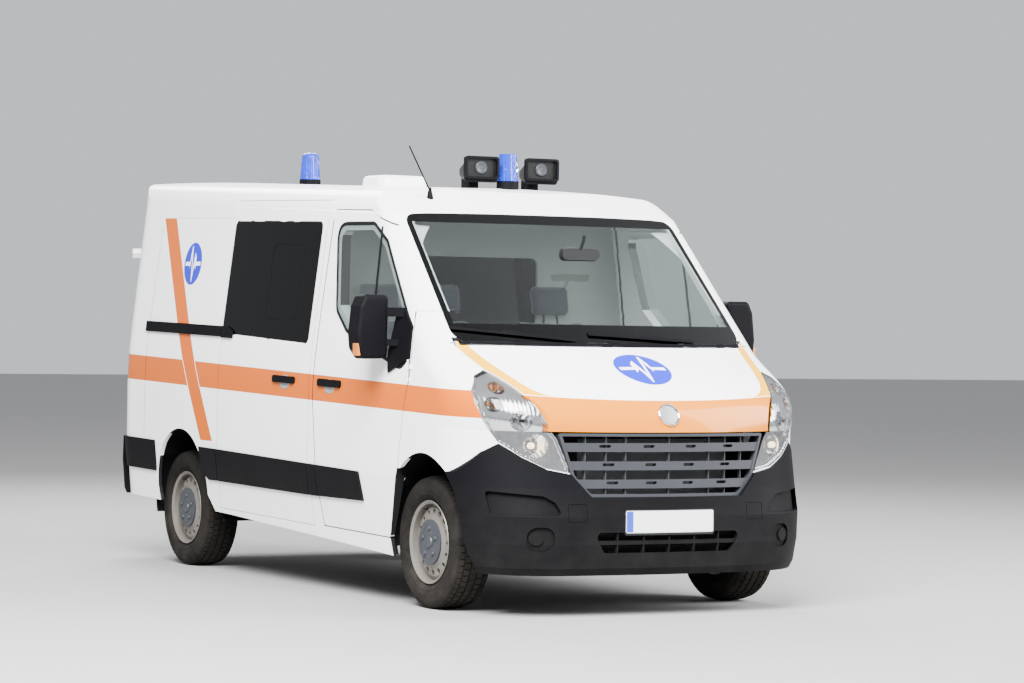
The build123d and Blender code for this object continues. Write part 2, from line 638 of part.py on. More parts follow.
# Front door hinges stand just outside the skin, at the belt
DOOR_AXIS = (1034.0, 94.0)
DOOR_BARREL = 8.0
DOOR_HINGE_HEIGHTS = [1195.0, 1262.0]
DOOR_HINGE_LENGTH = 24.0
WING_LEAF = [(1009, 70), (1015, 70), (1034, 86), (1028, 94), (1020, 90), (1009, 90)]
DOOR_LEAF = [(1028, 94), (1034, 102), (1015, 125), (985, 125), (985, 103), (1024, 103)]
wing_hinge, door_hinge = hinge_leaves(
    *DOOR_AXIS, DOOR_BARREL, DOOR_HINGE_LENGTH, DOOR_HINGE_HEIGHTS, WING_LEAF, DOOR_LEAF
)
with BuildPart() as wing_left_hinged:
    add(wing_left.part)
    with BuildSketch(Plane.XY.offset(DOOR_HINGE_HEIGHTS[0] - DOOR_HINGE_LENGTH)):
        with Locations((DOOR_AXIS[0], aft(DOOR_AXIS[1]))):
            Circle(DOOR_BARREL + 1)
    extrude(amount=DOOR_HINGE_HEIGHTS[1] - DOOR_HINGE_HEIGHTS[0] + 2 * DOOR_HINGE_LENGTH, mode=Mode.SUBTRACT)
    add(wing_hinge)
    add(bonnet_pin.part)
with BuildPart() as front_door_left_hinged:
    add(front_door_left.part)
    add(wheel_room(FRONT_WHEEL_AFT, FRONT_LINER_RADIUS + LINER + DOOR_GAP, WHEEL_ROOM_REACH), mode=Mode.SUBTRACT)
    add(door_hinge)
write(wing_left_hinged, "wing_left")
write(mirror_image(wing_left_hinged.part), "wing_right")
write(front_door_left_hinged, "front_door_left")
write(mirror_image(front_door_left_hinged.part), "front_door_right")

# Side walls, with a gutter and a seam pressed into the rear quarter
GUTTER_AND_SEAM = [
    [(2527, 2049), (3605, 2049), (3605, 2055), (2527, 2055)],
    [(3602, 2052), (3606, 2052), (3618, 715), (3614, 715)],
]
REAR_BAND = [(3000, REAR_DOOR_LOW), (4400, REAR_DOOR_LOW), (4400, REAR_DOOR_TOP), (3000, REAR_DOOR_TOP)]
TAIL_LAMP_ZONE = [
    (TAIL_LAMP_FRONT, TAIL_LAMP_LOW), (4400, TAIL_LAMP_LOW), (4400, TAIL_LAMP_TOP), (TAIL_LAMP_FRONT, TAIL_LAMP_TOP),
]
TAIL_LAMP_INSIDE = REAR_DOOR_HALF + 12
TAIL_OPENING_DEPTH = 160.0
def housing_space(arch, wheel_aft, radius, grow, inside=0.0):
    """The room over a wheel on the left: the opening joined to the wheel's own circle."""
    with BuildPart() as space:
        extrude(arch_cut(arch, grow), amount=FAR)
        add(wheel_room(wheel_aft, radius + grow, FAR))
        add(block_between(-10, FAR + 10, wheel_aft - 900, wheel_aft + 900, -400, LINER_FOOT), mode=Mode.SUBTRACT)
        if inside:
            add(block_between(-10, inside, wheel_aft - 900, wheel_aft + 900, -400, 1500), mode=Mode.SUBTRACT)
    return space.part


def across(outline, low, high):
    """A side view outline made solid between two places across the body."""
    with BuildPart() as piece:
        extrude(outline, amount=FAR, both=True)
        add(block_between(low, high, -2000, 6000, -200, 3500), mode=Mode.INTERSECT)
    return piece.part


with BuildPart() as rear_room:
    add(SKIN_INNER)
    add(housing_space(REAR_ARCH, REAR_WHEEL_AFT, REAR_LINER_RADIUS, LINER + SEAT_GAP), mode=Mode.INTERSECT)
with BuildPart() as rear_opening:
    add(block_between(-REAR_DOOR_HALF, REAR_DOOR_HALF, TAIL_FACE - TAIL_OPENING_DEPTH, TAIL_FACE + 60, 0, 3000))
    extrude(side_outline(REAR_BAND), amount=FAR, both=True, mode=Mode.INTERSECT)
with BuildPart() as lamp_hole:
    extrude(side_outline(TAIL_LAMP_ZONE, 0, SEAT_GAP), amount=FAR)
    add(block_between(-10, TAIL_LAMP_INSIDE - SEAT_GAP, 3000, 5000, 0, 3000), mode=Mode.SUBTRACT)
REAR_AXIS = (880.0, 4185.0)
REAR_BARREL = 11.0
REAR_HINGE_HEIGHTS = [700.0, 1320.0, 1880.0]
WALL_LEAF = [(884, 3900), (906, 3900), (891, 4185), (869, 4185)]
REAR_DOOR_LEAF = [(843, 3950), (826, 3950), (826, 4100), (869, 4185), (891, 4185), (856, 4100)]
wall_hinge, rear_door_hinge = hinge_leaves(*REAR_AXIS, REAR_BARREL, 30, REAR_HINGE_HEIGHTS, WALL_LEAF, REAR_DOOR_LEAF)
with BuildPart() as side_wall_left:
    add(shell_piece(side_outline(SIDE_WALL), FAR, INNER))
    add(rear_opening.part, mode=Mode.SUBTRACT)
    add(lamp_hole.part, mode=Mode.SUBTRACT)
    extrude(arch_cut(REAR_ARCH), amount=FAR, mode=Mode.SUBTRACT)
    add(rear_room.part, mode=Mode.SUBTRACT)
    add(wheel_room(FRONT_WHEEL_AFT, FRONT_LINER_RADIUS + LINER + SEAT_GAP, WHEEL_ROOM_REACH), mode=Mode.SUBTRACT)
    for groove in GUTTER_AND_SEAM:
        add(shell_piece(side_outline(groove), FAR, SEAM_FLOOR), mode=Mode.SUBTRACT)
    add(wall_hinge)
with BuildPart() as side_wall_right:
    mirror(side_wall_left.part, about=Plane.YZ)
    extrude(side_outline(SLIDING_DOOR, 0, PANEL_GAP), amount=-FAR, mode=Mode.SUBTRACT)
with BuildPart() as side_wall_left_cut:
    add(side_wall_left.part)
    extrude(side_outline(SLIDING_WINDOW, 30, -GLASS_BOND), amount=FAR, mode=Mode.SUBTRACT)
    add(shell_piece(side_outline(SLIDING_WINDOW, 30), FAR, GLASS_SEAT), mode=Mode.SUBTRACT)
write(side_wall_left_cut, "side_wall_left")
write(side_wall_right, "side_wall_right")

# Sliding door, shut, and the two flush side windows
with BuildPart() as sliding_door:
    add(shell_piece(side_outline(SLIDING_DOOR), -FAR, INNER))
    extrude(side_outline(SLIDING_WINDOW, 30, -GLASS_BOND), amount=-FAR, mode=Mode.SUBTRACT)
    add(shell_piece(side_outline(SLIDING_WINDOW, 30), -FAR, GLASS_SEAT), mode=Mode.SUBTRACT)
with BuildPart() as side_windows:
    add(shell_piece(side_outline(SLIDING_WINDOW, 30, -SEAT_GAP), -FAR, GLASS_INNER))
    add(shell_piece(side_outline(SLIDING_WINDOW, 30, -SEAT_GAP), FAR, GLASS_INNER))
write(sliding_door, "sliding_door")
write(side_windows, "side_windows")

# Tail lamps
with BuildPart() as tail_lamp:
    add(shell_piece(side_outline(TAIL_LAMP_ZONE), FAR, INNER))
    add(block_between(-10, TAIL_LAMP_INSIDE, 3000, 5000, 0, 3000), mode=Mode.SUBTRACT)
with BuildPart() as tail_lamps:
    add(tail_lamp.part)
    mirror(tail_lamp.part, about=Plane.YZ)
write(tail_lamps, "tail_lamps")

# Rear doors, meeting in the middle
REAR_WINDOW = [(110, 1400), (760, 1400), (760, 2020), (110, 2020)]
DOOR_BAND = [
    (3000, REAR_DOOR_LOW + DOOR_GAP), (4400, REAR_DOOR_LOW + DOOR_GAP),
    (4400, REAR_DOOR_TOP - DOOR_GAP), (3000, REAR_DOOR_TOP - DOOR_GAP),
]
MEETING_GAP = 4.0
MEETING_STEP = 6.0
REAR_REACH = 3200.0
TAIL_ZONE = block_between(MEETING_GAP, REAR_DOOR_HALF - DOOR_GAP, TAIL_FACE - TAIL_OPENING_DEPTH, TAIL_FACE + 60, 0, 3000)
MEETING_BEVEL = block_between(0, MEETING_GAP + MEETING_STEP, TAIL_FACE - 300, TAIL_FACE - SKIN, 0, 3000)


def window_prism(grow):
    with BuildPart() as prism:
        extrude(front_outline(REAR_WINDOW, 60, grow), amount=-REAR_REACH)
    return prism.part


def glass_zone(grow, inside):
    with BuildPart() as piece:
        add(OUTER)
        add(TAIL_ZONE, mode=Mode.INTERSECT)
        add(window_prism(grow), mode=Mode.INTERSECT)
        add(inside, mode=Mode.SUBTRACT)
    return piece


with BuildPart() as rear_door_left:
    add(shell_piece(side_outline(DOOR_BAND), FAR, INNER))
    add(TAIL_ZONE, mode=Mode.INTERSECT)
    add(MEETING_BEVEL, mode=Mode.SUBTRACT)
    add(window_prism(-GLASS_BOND), mode=Mode.SUBTRACT)
    add(glass_zone(0, GLASS_SEAT).part, mode=Mode.SUBTRACT)
    add(rear_door_hinge)
rear_glass_left = glass_zone(-SEAT_GAP, GLASS_INNER)
write(rear_door_left, "rear_door_left")
write(mirror_image(rear_door_left.part), "rear_door_right")
write(rear_glass_left, "rear_glass_left")
write(mirror_image(rear_glass_left.part), "rear_glass_right")

# Rear bumper: a step across the tail with a taller cap at each corner
STEP_TOP = 583.0
CAP_TOP = 700.0
CAP_INSIDE = 915.0
STEP_SLICES = [
    (345.0, 1012.0, -833.0, 644.0, -733.0, REAR_END - 6, 330.0),
    (380.0, 1024.0, -833.0, 644.0, -733.0, REAR_END, 330.0),
    (560.0, 1038.0, -833.0, 644.0, -733.0, REAR_END, 330.0),
    (CAP_TOP, 1040.0, -833.0, 644.0, -733.0, REAR_END - 12, 330.0),
]
with BuildPart() as rear_bumper:
    loft([slice_face(*row, 0) for row in STEP_SLICES], ruled=True)
    add(block_between(-1200, 1200, 4000, 4400, 0, 1000), mode=Mode.INTERSECT)
    extrude(side_outline([(3900, STEP_TOP), (4400, STEP_TOP), (4400, 900), (3900, 900)]), amount=CAP_INSIDE, both=True,
            mode=Mode.SUBTRACT)
    add(SEATED, mode=Mode.SUBTRACT)
write(rear_bumper, "rear_bumper")

# Bars, track and handles that stand out from the panels: outline in the side view
FRONT_DOOR_BAR = [(612, 545), (655, 700), (1187, 702), (1163, 532)]
SIDE_BARS = [
    [(1196, 702), (1287, 702), (1269, 529), (1172, 530)],
    [(1302, 702), (2514, 706), (2514, 520), (1284, 528)],
    [(2527, 706), (2765, 706), (2740, 560), (2640, 518), (2527, 520)],
    [(3440, 560), (3440, 706), (3990, 706), (3990, 520), (3445, 520)],
]
DOOR_TRACK = [(2527, 1361), (2527, 1423), (3640, 1423), (3640, 1361)]
TRACK_END = [(2364, 1356), (2364, 1398), (2440, 1424), (2514, 1424), (2514, 1356)]
SLIDING_HANDLE = [(1473, 1131), (1756, 1131), (1756, 1170), (1473, 1170)]
FRONT_HANDLE = [(891, 1133), (1172, 1133), (1172, 1174), (891, 1174)]
MIRROR_BASE = [(216, 1582), (112, 1486), (104, 1323), (330, 1240), (350, 1330), (300, 1560)]


def raised_piece(points, hand, radius=0.0):
    """A low piece on the outside of a panel, on one hand's side."""
    with BuildPart() as piece:
        add(RAISED)
        extrude(side_outline(points, radius), amount=hand * FAR, mode=Mode.INTERSECT)
        add(SEATED, mode=Mode.SUBTRACT)
    return piece.part


with BuildPart() as side_trim:
    for points in SIDE_BARS:
        add(raised_piece(points, 1))
    mirror(about=Plane.YZ)
    add(raised_piece(DOOR_TRACK, -1))
    add(raised_piece(TRACK_END, -1))
    add(raised_piece(SLIDING_HANDLE, -1, 15))
write(side_trim, "side_trim")

# Mirrors on two arms, with each front door's bar and handle
MIRROR_FACE = [
    (1052, 1288), (1190, 1284), (MIRROR_HALF_SPAN - 8, 1340), (MIRROR_HALF_SPAN, 1410),
    (MIRROR_HALF_SPAN - 16, 1560), (1190, 1622), (1052, 1622),
]
MIRROR_DEPTH = (290.0, 405.0)
# height of the arm's middle, and its half thickness
MIRROR_ARMS = [(1372.0, 17.0), (1532.0, 24.0)]
MIRROR_ARM = [(990, 205), (990, 265), (1075, 375), (1075, 305)]
with BuildPart() as door_trim_left:
    with BuildSketch(Plane.XZ.offset(-aft(MIRROR_DEPTH[1]))):
        add(front_outline(MIRROR_FACE, 26))
    extrude(amount=MIRROR_DEPTH[1] - MIRROR_DEPTH[0])
    fillet(door_trim_left.faces().sort_by(Axis.Y)[0].edges(), 24)
    for z, half in MIRROR_ARMS:
        with BuildSketch(Plane.XY.offset(z - half)):
            add(plan_outline(MIRROR_ARM))
        extrude(amount=2 * half)
    add(SEATED, mode=Mode.SUBTRACT)
    add(raised_piece(MIRROR_BASE, 1))
    add(raised_piece(FRONT_DOOR_BAR, 1))
    add(raised_piece(FRONT_HANDLE, 1, 15))
write(door_trim_left, "door_trim_left")
write(mirror_image(door_trim_left.part), "door_trim_right")

# Wheels: rows are distance out from the wheel's middle, and radius
BEAD = 88.0
BEAD_TOP = 222.0
TYRE_HALF = TYRE_WIDTH / 2
RIM_BARREL = 6.0
RIM_LIP = (98.0, 217.0)
DISC_SECTION = [(30, 201), (52, 201), (66, 176), (72, 140), (84, 118), (88, 60), (88, 0), (-20, 0), (-20, 72), (60, 72), (60, 132), (56, 172)]
HUB_DEPTH = 66.0
RIM_HOLES = 16
RIM_HOLE_RING = 158.0
RIM_HOLE_RADIUS = 15.0


def wheel_plane(x, y, z=TYRE_RADIUS):
    """Local x points out of the left side, local y points up."""
    return Plane((x, y, z), x_dir=(1, 0, 0), z_dir=(0, -1, 0))


def tyre_at(x, y):
    with BuildPart() as tyre:
        with BuildSketch(wheel_plane(x, y)):
            with BuildLine():
                Line((-BEAD, RIM_RADIUS + 3), (BEAD, RIM_RADIUS + 3))
                for hand in (1, -1):
                    bulge = (hand * TYRE_HALF, 270)
                    Line((hand * BEAD, RIM_RADIUS + 3), (hand * BEAD, BEAD_TOP))
                    ThreePointArc((hand * BEAD, BEAD_TOP), bulge, (hand * 96, 325))
                    ThreePointArc((hand * 96, 325), (hand * 88, 337), (hand * 74, 342))
                ThreePointArc((-74, 342), (0, TYRE_RADIUS), (74, 342))
            make_face()
        revolve(axis=Axis((x, y, TYRE_RADIUS), (1, 0, 0)))
    return tyre


def rim_at(x, y):
    outer = RIM_RADIUS + 3
    inner = outer - RIM_BARREL
    with BuildPart() as rim:
        with BuildSketch(wheel_plane(x, y)):
            with BuildLine():
                Polyline((-BEAD, inner), (BEAD, inner), (RIM_LIP[0], RIM_LIP[1] - 3), (RIM_LIP[0] - 4, RIM_LIP[1]),
                         (BEAD + 0.6, RIM_LIP[1] - 8), (BEAD + 0.3, outer), (-BEAD, outer), close=True)
            make_face()
            with BuildLine():
                Polyline(*DISC_SECTION, close=True)
            make_face()
        revolve(axis=Axis((x, y, TYRE_RADIUS), (1, 0, 0)))
        with BuildSketch(Plane((x, y, TYRE_RADIUS), x_dir=(0, 1, 0), z_dir=(1, 0, 0))):
            with PolarLocations(RIM_HOLE_RING, RIM_HOLES):
                Circle(RIM_HOLE_RADIUS)
        extrude(amount=120, mode=Mode.SUBTRACT)
        with BuildSketch(Plane((x - 40, y, TYRE_RADIUS), x_dir=(0, 1, 0), z_dir=(1, 0, 0))):
            Circle(STUB_RADIUS + BORE_CLEARANCE)
        extrude(amount=HUB_DEPTH + 40, mode=Mode.SUBTRACT)
    return rim


for place, track, wheel_aft in (("front", HALF_TRACK_FRONT, FRONT_WHEEL_AFT), ("rear", HALF_TRACK_REAR, REAR_WHEEL_AFT)):
    tyre = tyre_at(track, aft(wheel_aft))
    rim = rim_at(track, aft(wheel_aft))
    write(tyre, f"tyre_{place}_left")
    write(mirror_image(tyre.part), f"tyre_{place}_right")
    write(rim, f"rim_{place}_left")
    write(mirror_image(rim.part), f"rim_{place}_right")

# Knuckles: an upright on the leaning pivot, with its stub and the strut's lower tube
WHEEL_Y = aft(FRONT_WHEEL_AFT)
lean = math.hypot(PIVOT_TOP[0] - PIVOT_LOW[0], PIVOT_TOP[1] - PIVOT_LOW[1])
PIVOT_UP = ((PIVOT_TOP[0] - PIVOT_LOW[0]) / lean, 0, (PIVOT_TOP[1] - PIVOT_LOW[1]) / lean)


def pivot_plane(distance):
    """A plane square to the pivot, this far up it."""
    x, z = PIVOT_LOW[0] + PIVOT_UP[0] * distance, PIVOT_LOW[1] + PIVOT_UP[2] * distance
    return Plane((x, WHEEL_Y, z), x_dir=(0, 1, 0), z_dir=PIVOT_UP)


PIVOT_PIN = 12.0
DISC_RADIUS = 114.0
STRUT_ROD = 11.0
TUBE_FOOT = 12.0
TUBE_TOP = 470.0
HUB_FACE = HALF_TRACK_FRONT - 26.0
with BuildPart() as knuckle_left:
    with BuildSketch(pivot_plane(TUBE_FOOT)):
        Rectangle(64, 50)
    extrude(amount=220)
    with BuildSketch(pivot_plane(TUBE_FOOT + 200)):
        Circle(26)
    extrude(amount=TUBE_TOP - TUBE_FOOT - 200)
    with BuildSketch(Plane((740, WHEEL_Y, TYRE_RADIUS), x_dir=(0, 1, 0), z_dir=(1, 0, 0))):
        Circle(62)
    extrude(amount=HUB_FACE - 740)
    with BuildSketch(Plane((HUB_FACE - 32, WHEEL_Y, TYRE_RADIUS), x_dir=(0, 1, 0), z_dir=(1, 0, 0))):
        Circle(DISC_RADIUS)
    extrude(amount=14)
    with BuildSketch(Plane((HUB_FACE - 10, WHEEL_Y, TYRE_RADIUS), x_dir=(0, 1, 0), z_dir=(1, 0, 0))):
        Circle(STUB_RADIUS)
    extrude(amount=HALF_TRACK_FRONT + HUB_DEPTH - 6 - HUB_FACE + 10)
    with BuildSketch(pivot_plane(-20)):
        Circle(PIVOT_PIN + BORE_CLEARANCE)
    extrude(amount=90, mode=Mode.SUBTRACT)
    with BuildSketch(pivot_plane(TUBE_TOP - 120)):
        Circle(STRUT_ROD + BORE_CLEARANCE)
    extrude(amount=200, mode=Mode.SUBTRACT)
write(knuckle_left, "knuckle_left")
write(mirror_image(knuckle_left.part), "knuckle_right")

# Front subframe with rails, lower arms, strut rods, springs and towers
RAIL = (380.0, 450.0)
RAIL_LOW = 380.0
RAIL_TOP = 480.0
FRONT_RAIL = [
    (-560, RAIL_LOW), (450 - SEAT_GAP, RAIL_LOW), (450 - SEAT_GAP, RAIL_TOP - SEAT_GAP), (-560, RAIL_TOP - SEAT_GAP),
]
with BuildPart() as subframe_left:
    add(across(side_outline(FRONT_RAIL), *RAIL))
    add(block_between(0, RAIL[1], FRONT_WHEEL_AFT - 80, FRONT_WHEEL_AFT + 80, 190, 240))
    add(block_between(*RAIL, FRONT_WHEEL_AFT - 60, FRONT_WHEEL_AFT + 60, 200, 400))
    add(block_between(*RAIL, FRONT_WHEEL_AFT - 60, FRONT_WHEEL_AFT + 60, 400, PIVOT_TOP[1] + 14))
    add(block_between(RAIL[0], PIVOT_TOP[0] + 62, FRONT_WHEEL_AFT - 60, FRONT_WHEEL_AFT + 60, PIVOT_TOP[1] - 6, PIVOT_TOP[1] + 14))
    with BuildSketch(Plane.XY.offset(203)):
        add(plan_outline([(430, -115), (430, 65), (700, 0), (812, 0), (812, -50), (700, -50)]))
    extrude(amount=20)
    with BuildSketch(pivot_plane(-14)):
        Circle(PIVOT_PIN)
    extrude(amount=70)
    with BuildSketch(pivot_plane(TUBE_TOP - 60)):
        Circle(STRUT_ROD)
    extrude(amount=lean - TUBE_TOP + 60)
    with BuildSketch(pivot_plane(TUBE_TOP + 50)):
        Circle(60)
    extrude(amount=lean - TUBE_TOP - 50)
with BuildPart() as front_subframe:
    add(subframe_left.part)
    mirror(subframe_left.part, about=Plane.YZ)
write(front_subframe, "front_subframe")

# Engine and radiator
ENGINE = [(-480, 367), (-60, 367), (-60, 880), (-180, 960), (-480, 930)]
ENGINE_HALF = 330.0
with BuildPart() as engine_block:
    add(across(side_outline(ENGINE), -ENGINE_HALF, ENGINE_HALF))
    fillet(engine_block.edges().filter_by(Axis.X), 30)
    add(block_between(-RAIL[0] + SEAT_GAP, RAIL[0] - SEAT_GAP, -320, -240, 380, 420))
with BuildPart() as radiator:
    add(block_between(-RAIL[0] - 60, RAIL[0] + 60, -640, -600, 350, 900))
    add(block_between(-RAIL[1] + 20, RAIL[1] - 20, -600, -560 - SEAT_GAP, 372, 430))
write(engine_block, "engine_block")
write(radiator, "radiator")

# Floor with its rails, wheel boxes and the wall in front of the cab
FLOOR_LOW = FLOOR_TOP - FLOOR_THICKNESS
CAB_END = 1250.0
WING_FIT = body_block(SKIN + SEAT_GAP)
FRONT_BOX_INSIDE = 560.0
FRONT_BOX_REAR = 450.0
FRONT_BOX_TOP = 830.0
REAR_BOX_INSIDE = 696.0
PLATE = 8.0
FIREWALL = (60.0, 80.0)
FIREWALL_TOP = 1377.7


def band(aft_low, aft_high, low, high):
    return [(aft_low, low), (aft_high, low), (aft_high, high), (aft_low, high)]


with BuildPart() as cab_floor:
    add(HOUSING_BACK)
    extrude(side_outline(band(FIREWALL[0], CAB_END, FLOOR_LOW, FLOOR_TOP)), amount=FAR, both=True, mode=Mode.INTERSECT)
with BuildPart() as load_floor:
    add(FITTED)
    extrude(side_outline(band(CAB_END, 4040, FLOOR_LOW, FLOOR_TOP)), amount=FAR, both=True, mode=Mode.INTERSECT)
with BuildPart() as firewall:
    add(WING_FIT)
    extrude(side_outline(band(*FIREWALL, FLOOR_LOW, FIREWALL_TOP)), amount=FAR, both=True, mode=Mode.INTERSECT)
with BuildPart() as front_box_space:
    add(block_between(FRONT_BOX_INSIDE, 1200, -600, FRONT_BOX_REAR, 0, FRONT_BOX_TOP))
with BuildPart() as front_box:
    add(block_between(FRONT_BOX_INSIDE - PLATE, 1200, FIREWALL[0] + 5, FRONT_BOX_REAR + PLATE, FLOOR_TOP - 70, FRONT_BOX_TOP + PLATE))
    add(front_box_space.part, mode=Mode.SUBTRACT)
    add(HOUSING_BACK, mode=Mode.INTERSECT)
rear_box_space = housing_space(REAR_ARCH, REAR_WHEEL_AFT, REAR_LINER_RADIUS, LINER + SEAT_GAP, REAR_BOX_INSIDE)
# Flat floor panel of the load space, clear of the walls and the wheel boxes
FLOOR_PANEL = 6.0
FLOOR_PANEL_AFT = (1330.0, 3960.0)
FLOOR_PANEL_HALF = REAR_BOX_INSIDE - 26.0
with BuildPart() as floor_panel:
    extrude(side_outline(band(*FLOOR_PANEL_AFT, FLOOR_TOP - 5, FLOOR_TOP + FLOOR_PANEL)), amount=FLOOR_PANEL_HALF)
with BuildPart() as floor_left:
    add(cab_floor.part)
    add(load_floor.part)
    add(floor_panel.part)
    add(firewall.part)
    add(block_between(0, 1200, -100, 4300, 0, 2000), mode=Mode.INTERSECT)
    add(front_box_space.part, mode=Mode.SUBTRACT)
    add(rear_box_space, mode=Mode.SUBTRACT)
    add(front_box.part)
    add(across(side_outline(band(450, 4000, RAIL_LOW, FLOOR_LOW + 5)), *RAIL))
with BuildPart() as floor_pan:
    add(floor_left.part)
    mirror(floor_left.part, about=Plane.YZ)
write(floor_pan, "floor_pan")

# Wheel housings
FRONT_LINER_INSIDE = 566.0
DOOR_ROOM = WHEEL_ROOM_REACH - 2 * DOOR_GAP
STRUT_NOTCH = (550, 715, -110, 60, 600, 1000)
AXLE_NOTCH = (690, 701, 2600, 3700, 0, 470)
with BuildPart() as front_liner:
    add(WING_FIT)
    add(BUMPER_FIT, mode=Mode.INTERSECT)
    add(housing_space(FRONT_ARCH, FRONT_WHEEL_AFT, FRONT_LINER_RADIUS, LINER, FRONT_LINER_INSIDE), mode=Mode.INTERSECT)
    add(housing_space(FRONT_ARCH, FRONT_WHEEL_AFT, FRONT_LINER_RADIUS, 0), mode=Mode.SUBTRACT)
    add(across(side_outline(FRONT_DOOR, 0, DOOR_GAP), DOOR_ROOM, FAR), mode=Mode.SUBTRACT)
    add(block_between(*STRUT_NOTCH), mode=Mode.SUBTRACT)
with BuildPart() as rear_liner:
    add(WING_FIT)
    add(housing_space(REAR_ARCH, REAR_WHEEL_AFT, REAR_LINER_RADIUS, LINER, REAR_BOX_INSIDE + SEAT_GAP), mode=Mode.INTERSECT)
    add(housing_space(REAR_ARCH, REAR_WHEEL_AFT, REAR_LINER_RADIUS, 0, REAR_BOX_INSIDE + LINER), mode=Mode.SUBTRACT)
    add(block_between(*AXLE_NOTCH), mode=Mode.SUBTRACT)
with BuildPart() as arch_liners:
    add(front_liner.part)
    add(rear_liner.part)
    mirror(about=Plane.YZ)
write(arch_liners, "arch_liners")

# Rear axle on leaf springs
LEAF = [(2500, 408), (REAR_WHEEL_AFT, 389), (3810, 408), (3810, 432), (REAR_WHEEL_AFT, 413), (2500, 432)]
LEAF_X = (525.0, 595.0)
HANGERS = [(2490, 2550), (3760, 3820)]
AXLE_TUBE = 45.0
DRUM = (740.0, HALF_TRACK_REAR - 26.0, 130.0)
REAR_Y = aft(REAR_WHEEL_AFT)
with BuildPart() as axle_left:
    with BuildSketch(Plane((0, REAR_Y, TYRE_RADIUS), x_dir=(0, 1, 0), z_dir=(1, 0, 0))):
        Circle(AXLE_TUBE)
    extrude(amount=DRUM[0] + 10)
    with BuildSketch(Plane((DRUM[0], REAR_Y, TYRE_RADIUS), x_dir=(0, 1, 0), z_dir=(1, 0, 0))):
        Circle(DRUM[2])
    extrude(amount=DRUM[1] - DRUM[0])
    with BuildSketch(Plane((DRUM[1] - 10, REAR_Y, TYRE_RADIUS), x_dir=(0, 1, 0), z_dir=(1, 0, 0))):
        Circle(STUB_RADIUS)
    extrude(amount=HALF_TRACK_REAR + HUB_DEPTH - 6 - DRUM[1] + 10)
    with BuildSketch(Plane.YZ.offset(LEAF_X[0])):
        with BuildLine():
            Polyline(*[(aft(d), z) for d, z in LEAF], close=True)
        make_face()
    extrude(amount=LEAF_X[1] - LEAF_X[0])
    for near, far in HANGERS:
        add(across(side_outline(band(near, far, 385, FLOOR_LOW - SEAT_GAP)), *LEAF_X))
with BuildPart() as rear_axle:
    add(axle_left.part)
    mirror(axle_left.part, about=Plane.YZ)
write(rear_axle, "rear_axle")

# Fuel tank and exhaust
PIPE_RADIUS = 28.0
PIPE_Z = 302.4
PIPE_ROUTE = [(250, -200), (490, -200), (490, 2250), (930, 2250)]
with BuildPart() as fuel_tank:
    extrude(side_outline(band(1400, 2250, 245, FLOOR_LOW - SEAT_GAP)), amount=350, both=True)
    fillet(fuel_tank.edges().filter_by(Axis.X), 40)
with BuildPart() as exhaust:
    with BuildLine() as route:
        FilletPolyline(*[(x, aft(d), PIPE_Z) for x, d in PIPE_ROUTE], radius=80)
    with BuildSketch(Plane(origin=(PIPE_ROUTE[0][0], aft(PIPE_ROUTE[0][1]), PIPE_Z), z_dir=(1, 0, 0))):
        Circle(PIPE_RADIUS)
    sweep()
    with BuildSketch(Plane((490, aft(1350), PIPE_Z), z_dir=(0, 1, 0))):
        Circle(70)
    extrude(amount=600)
write(fuel_tank, "fuel_tank")
write(exhaust, "exhaust")

# Bulkhead behind the seats, with a window
BULKHEAD = (1262.0, 1282.0)
with BuildPart() as bulkhead:
    add(FITTED)
    extrude(side_outline(band(*BULKHEAD, FLOOR_TOP + SEAT_GAP, 2500)), amount=FAR, both=True, mode=Mode.INTERSECT)
    extrude(front_outline([(-380, 1450), (380, 1450), (380, 1850), (-380, 1850)], 40), amount=FAR, both=True, mode=Mode.SUBTRACT)
write(bulkhead, "bulkhead")

# Dashboard and cowl shelf, with the steering column
DASH = [(FIREWALL[1] + SEAT_GAP, 1395), (150, 1382), (290, 1325), (300, 1180), (240, 980), (120, 910), (FIREWALL[1] + SEAT_GAP, 910)]
SHELF = band(-420, 100, 1378, 1395)
WHEEL_POSE = {"x": 430.0, "aft": 400.0, "z": 1290.0}
COLUMN_UP = (0, 0.6, 0.8)
COLUMN_BORE = 12.0


def column_plane(distance):
    """A plane square to the steering column, this far above the wheel's middle."""
    origin = (WHEEL_POSE["x"], aft(WHEEL_POSE["aft"]) + COLUMN_UP[1] * distance, WHEEL_POSE["z"] + COLUMN_UP[2] * distance)
    return Plane(origin, x_dir=(1, 0, 0), z_dir=COLUMN_UP)


with BuildPart() as dashboard:
    add(HOUSING_BACK)
    with BuildPart(mode=Mode.INTERSECT):
        extrude(side_outline(DASH), amount=FAR, both=True)
        extrude(side_outline(SHELF), amount=FAR, both=True)
    with BuildSketch(column_plane(-260)):
        Circle(30)
    extrude(amount=215)
    with BuildSketch(column_plane(-170)):
        Circle(COLUMN_BORE + BORE_CLEARANCE)
    extrude(amount=200, mode=Mode.SUBTRACT)
write(dashboard, "dashboard")

# Steering wheel
with BuildPart() as steering_wheel:
    with BuildSketch(column_plane(-160)):
        Circle(COLUMN_BORE)
    extrude(amount=150)
    with BuildSketch(column_plane(-30)):
        Circle(55)
    extrude(amount=36)
    with BuildSketch(column_plane(-14)):
        Rectangle(390, 40)
        with Locations((0, -95)):
            Rectangle(44, 190)
    extrude(amount=12)
    with BuildSketch(Plane(column_plane(0).origin, x_dir=(1, 0, 0), z_dir=(0, 0.8, -0.6))):
        with Locations((195, 0)):
            Circle(15)
    revolve(axis=Axis(column_plane(0).origin, COLUMN_UP))
write(steering_wheel, "steering_wheel")

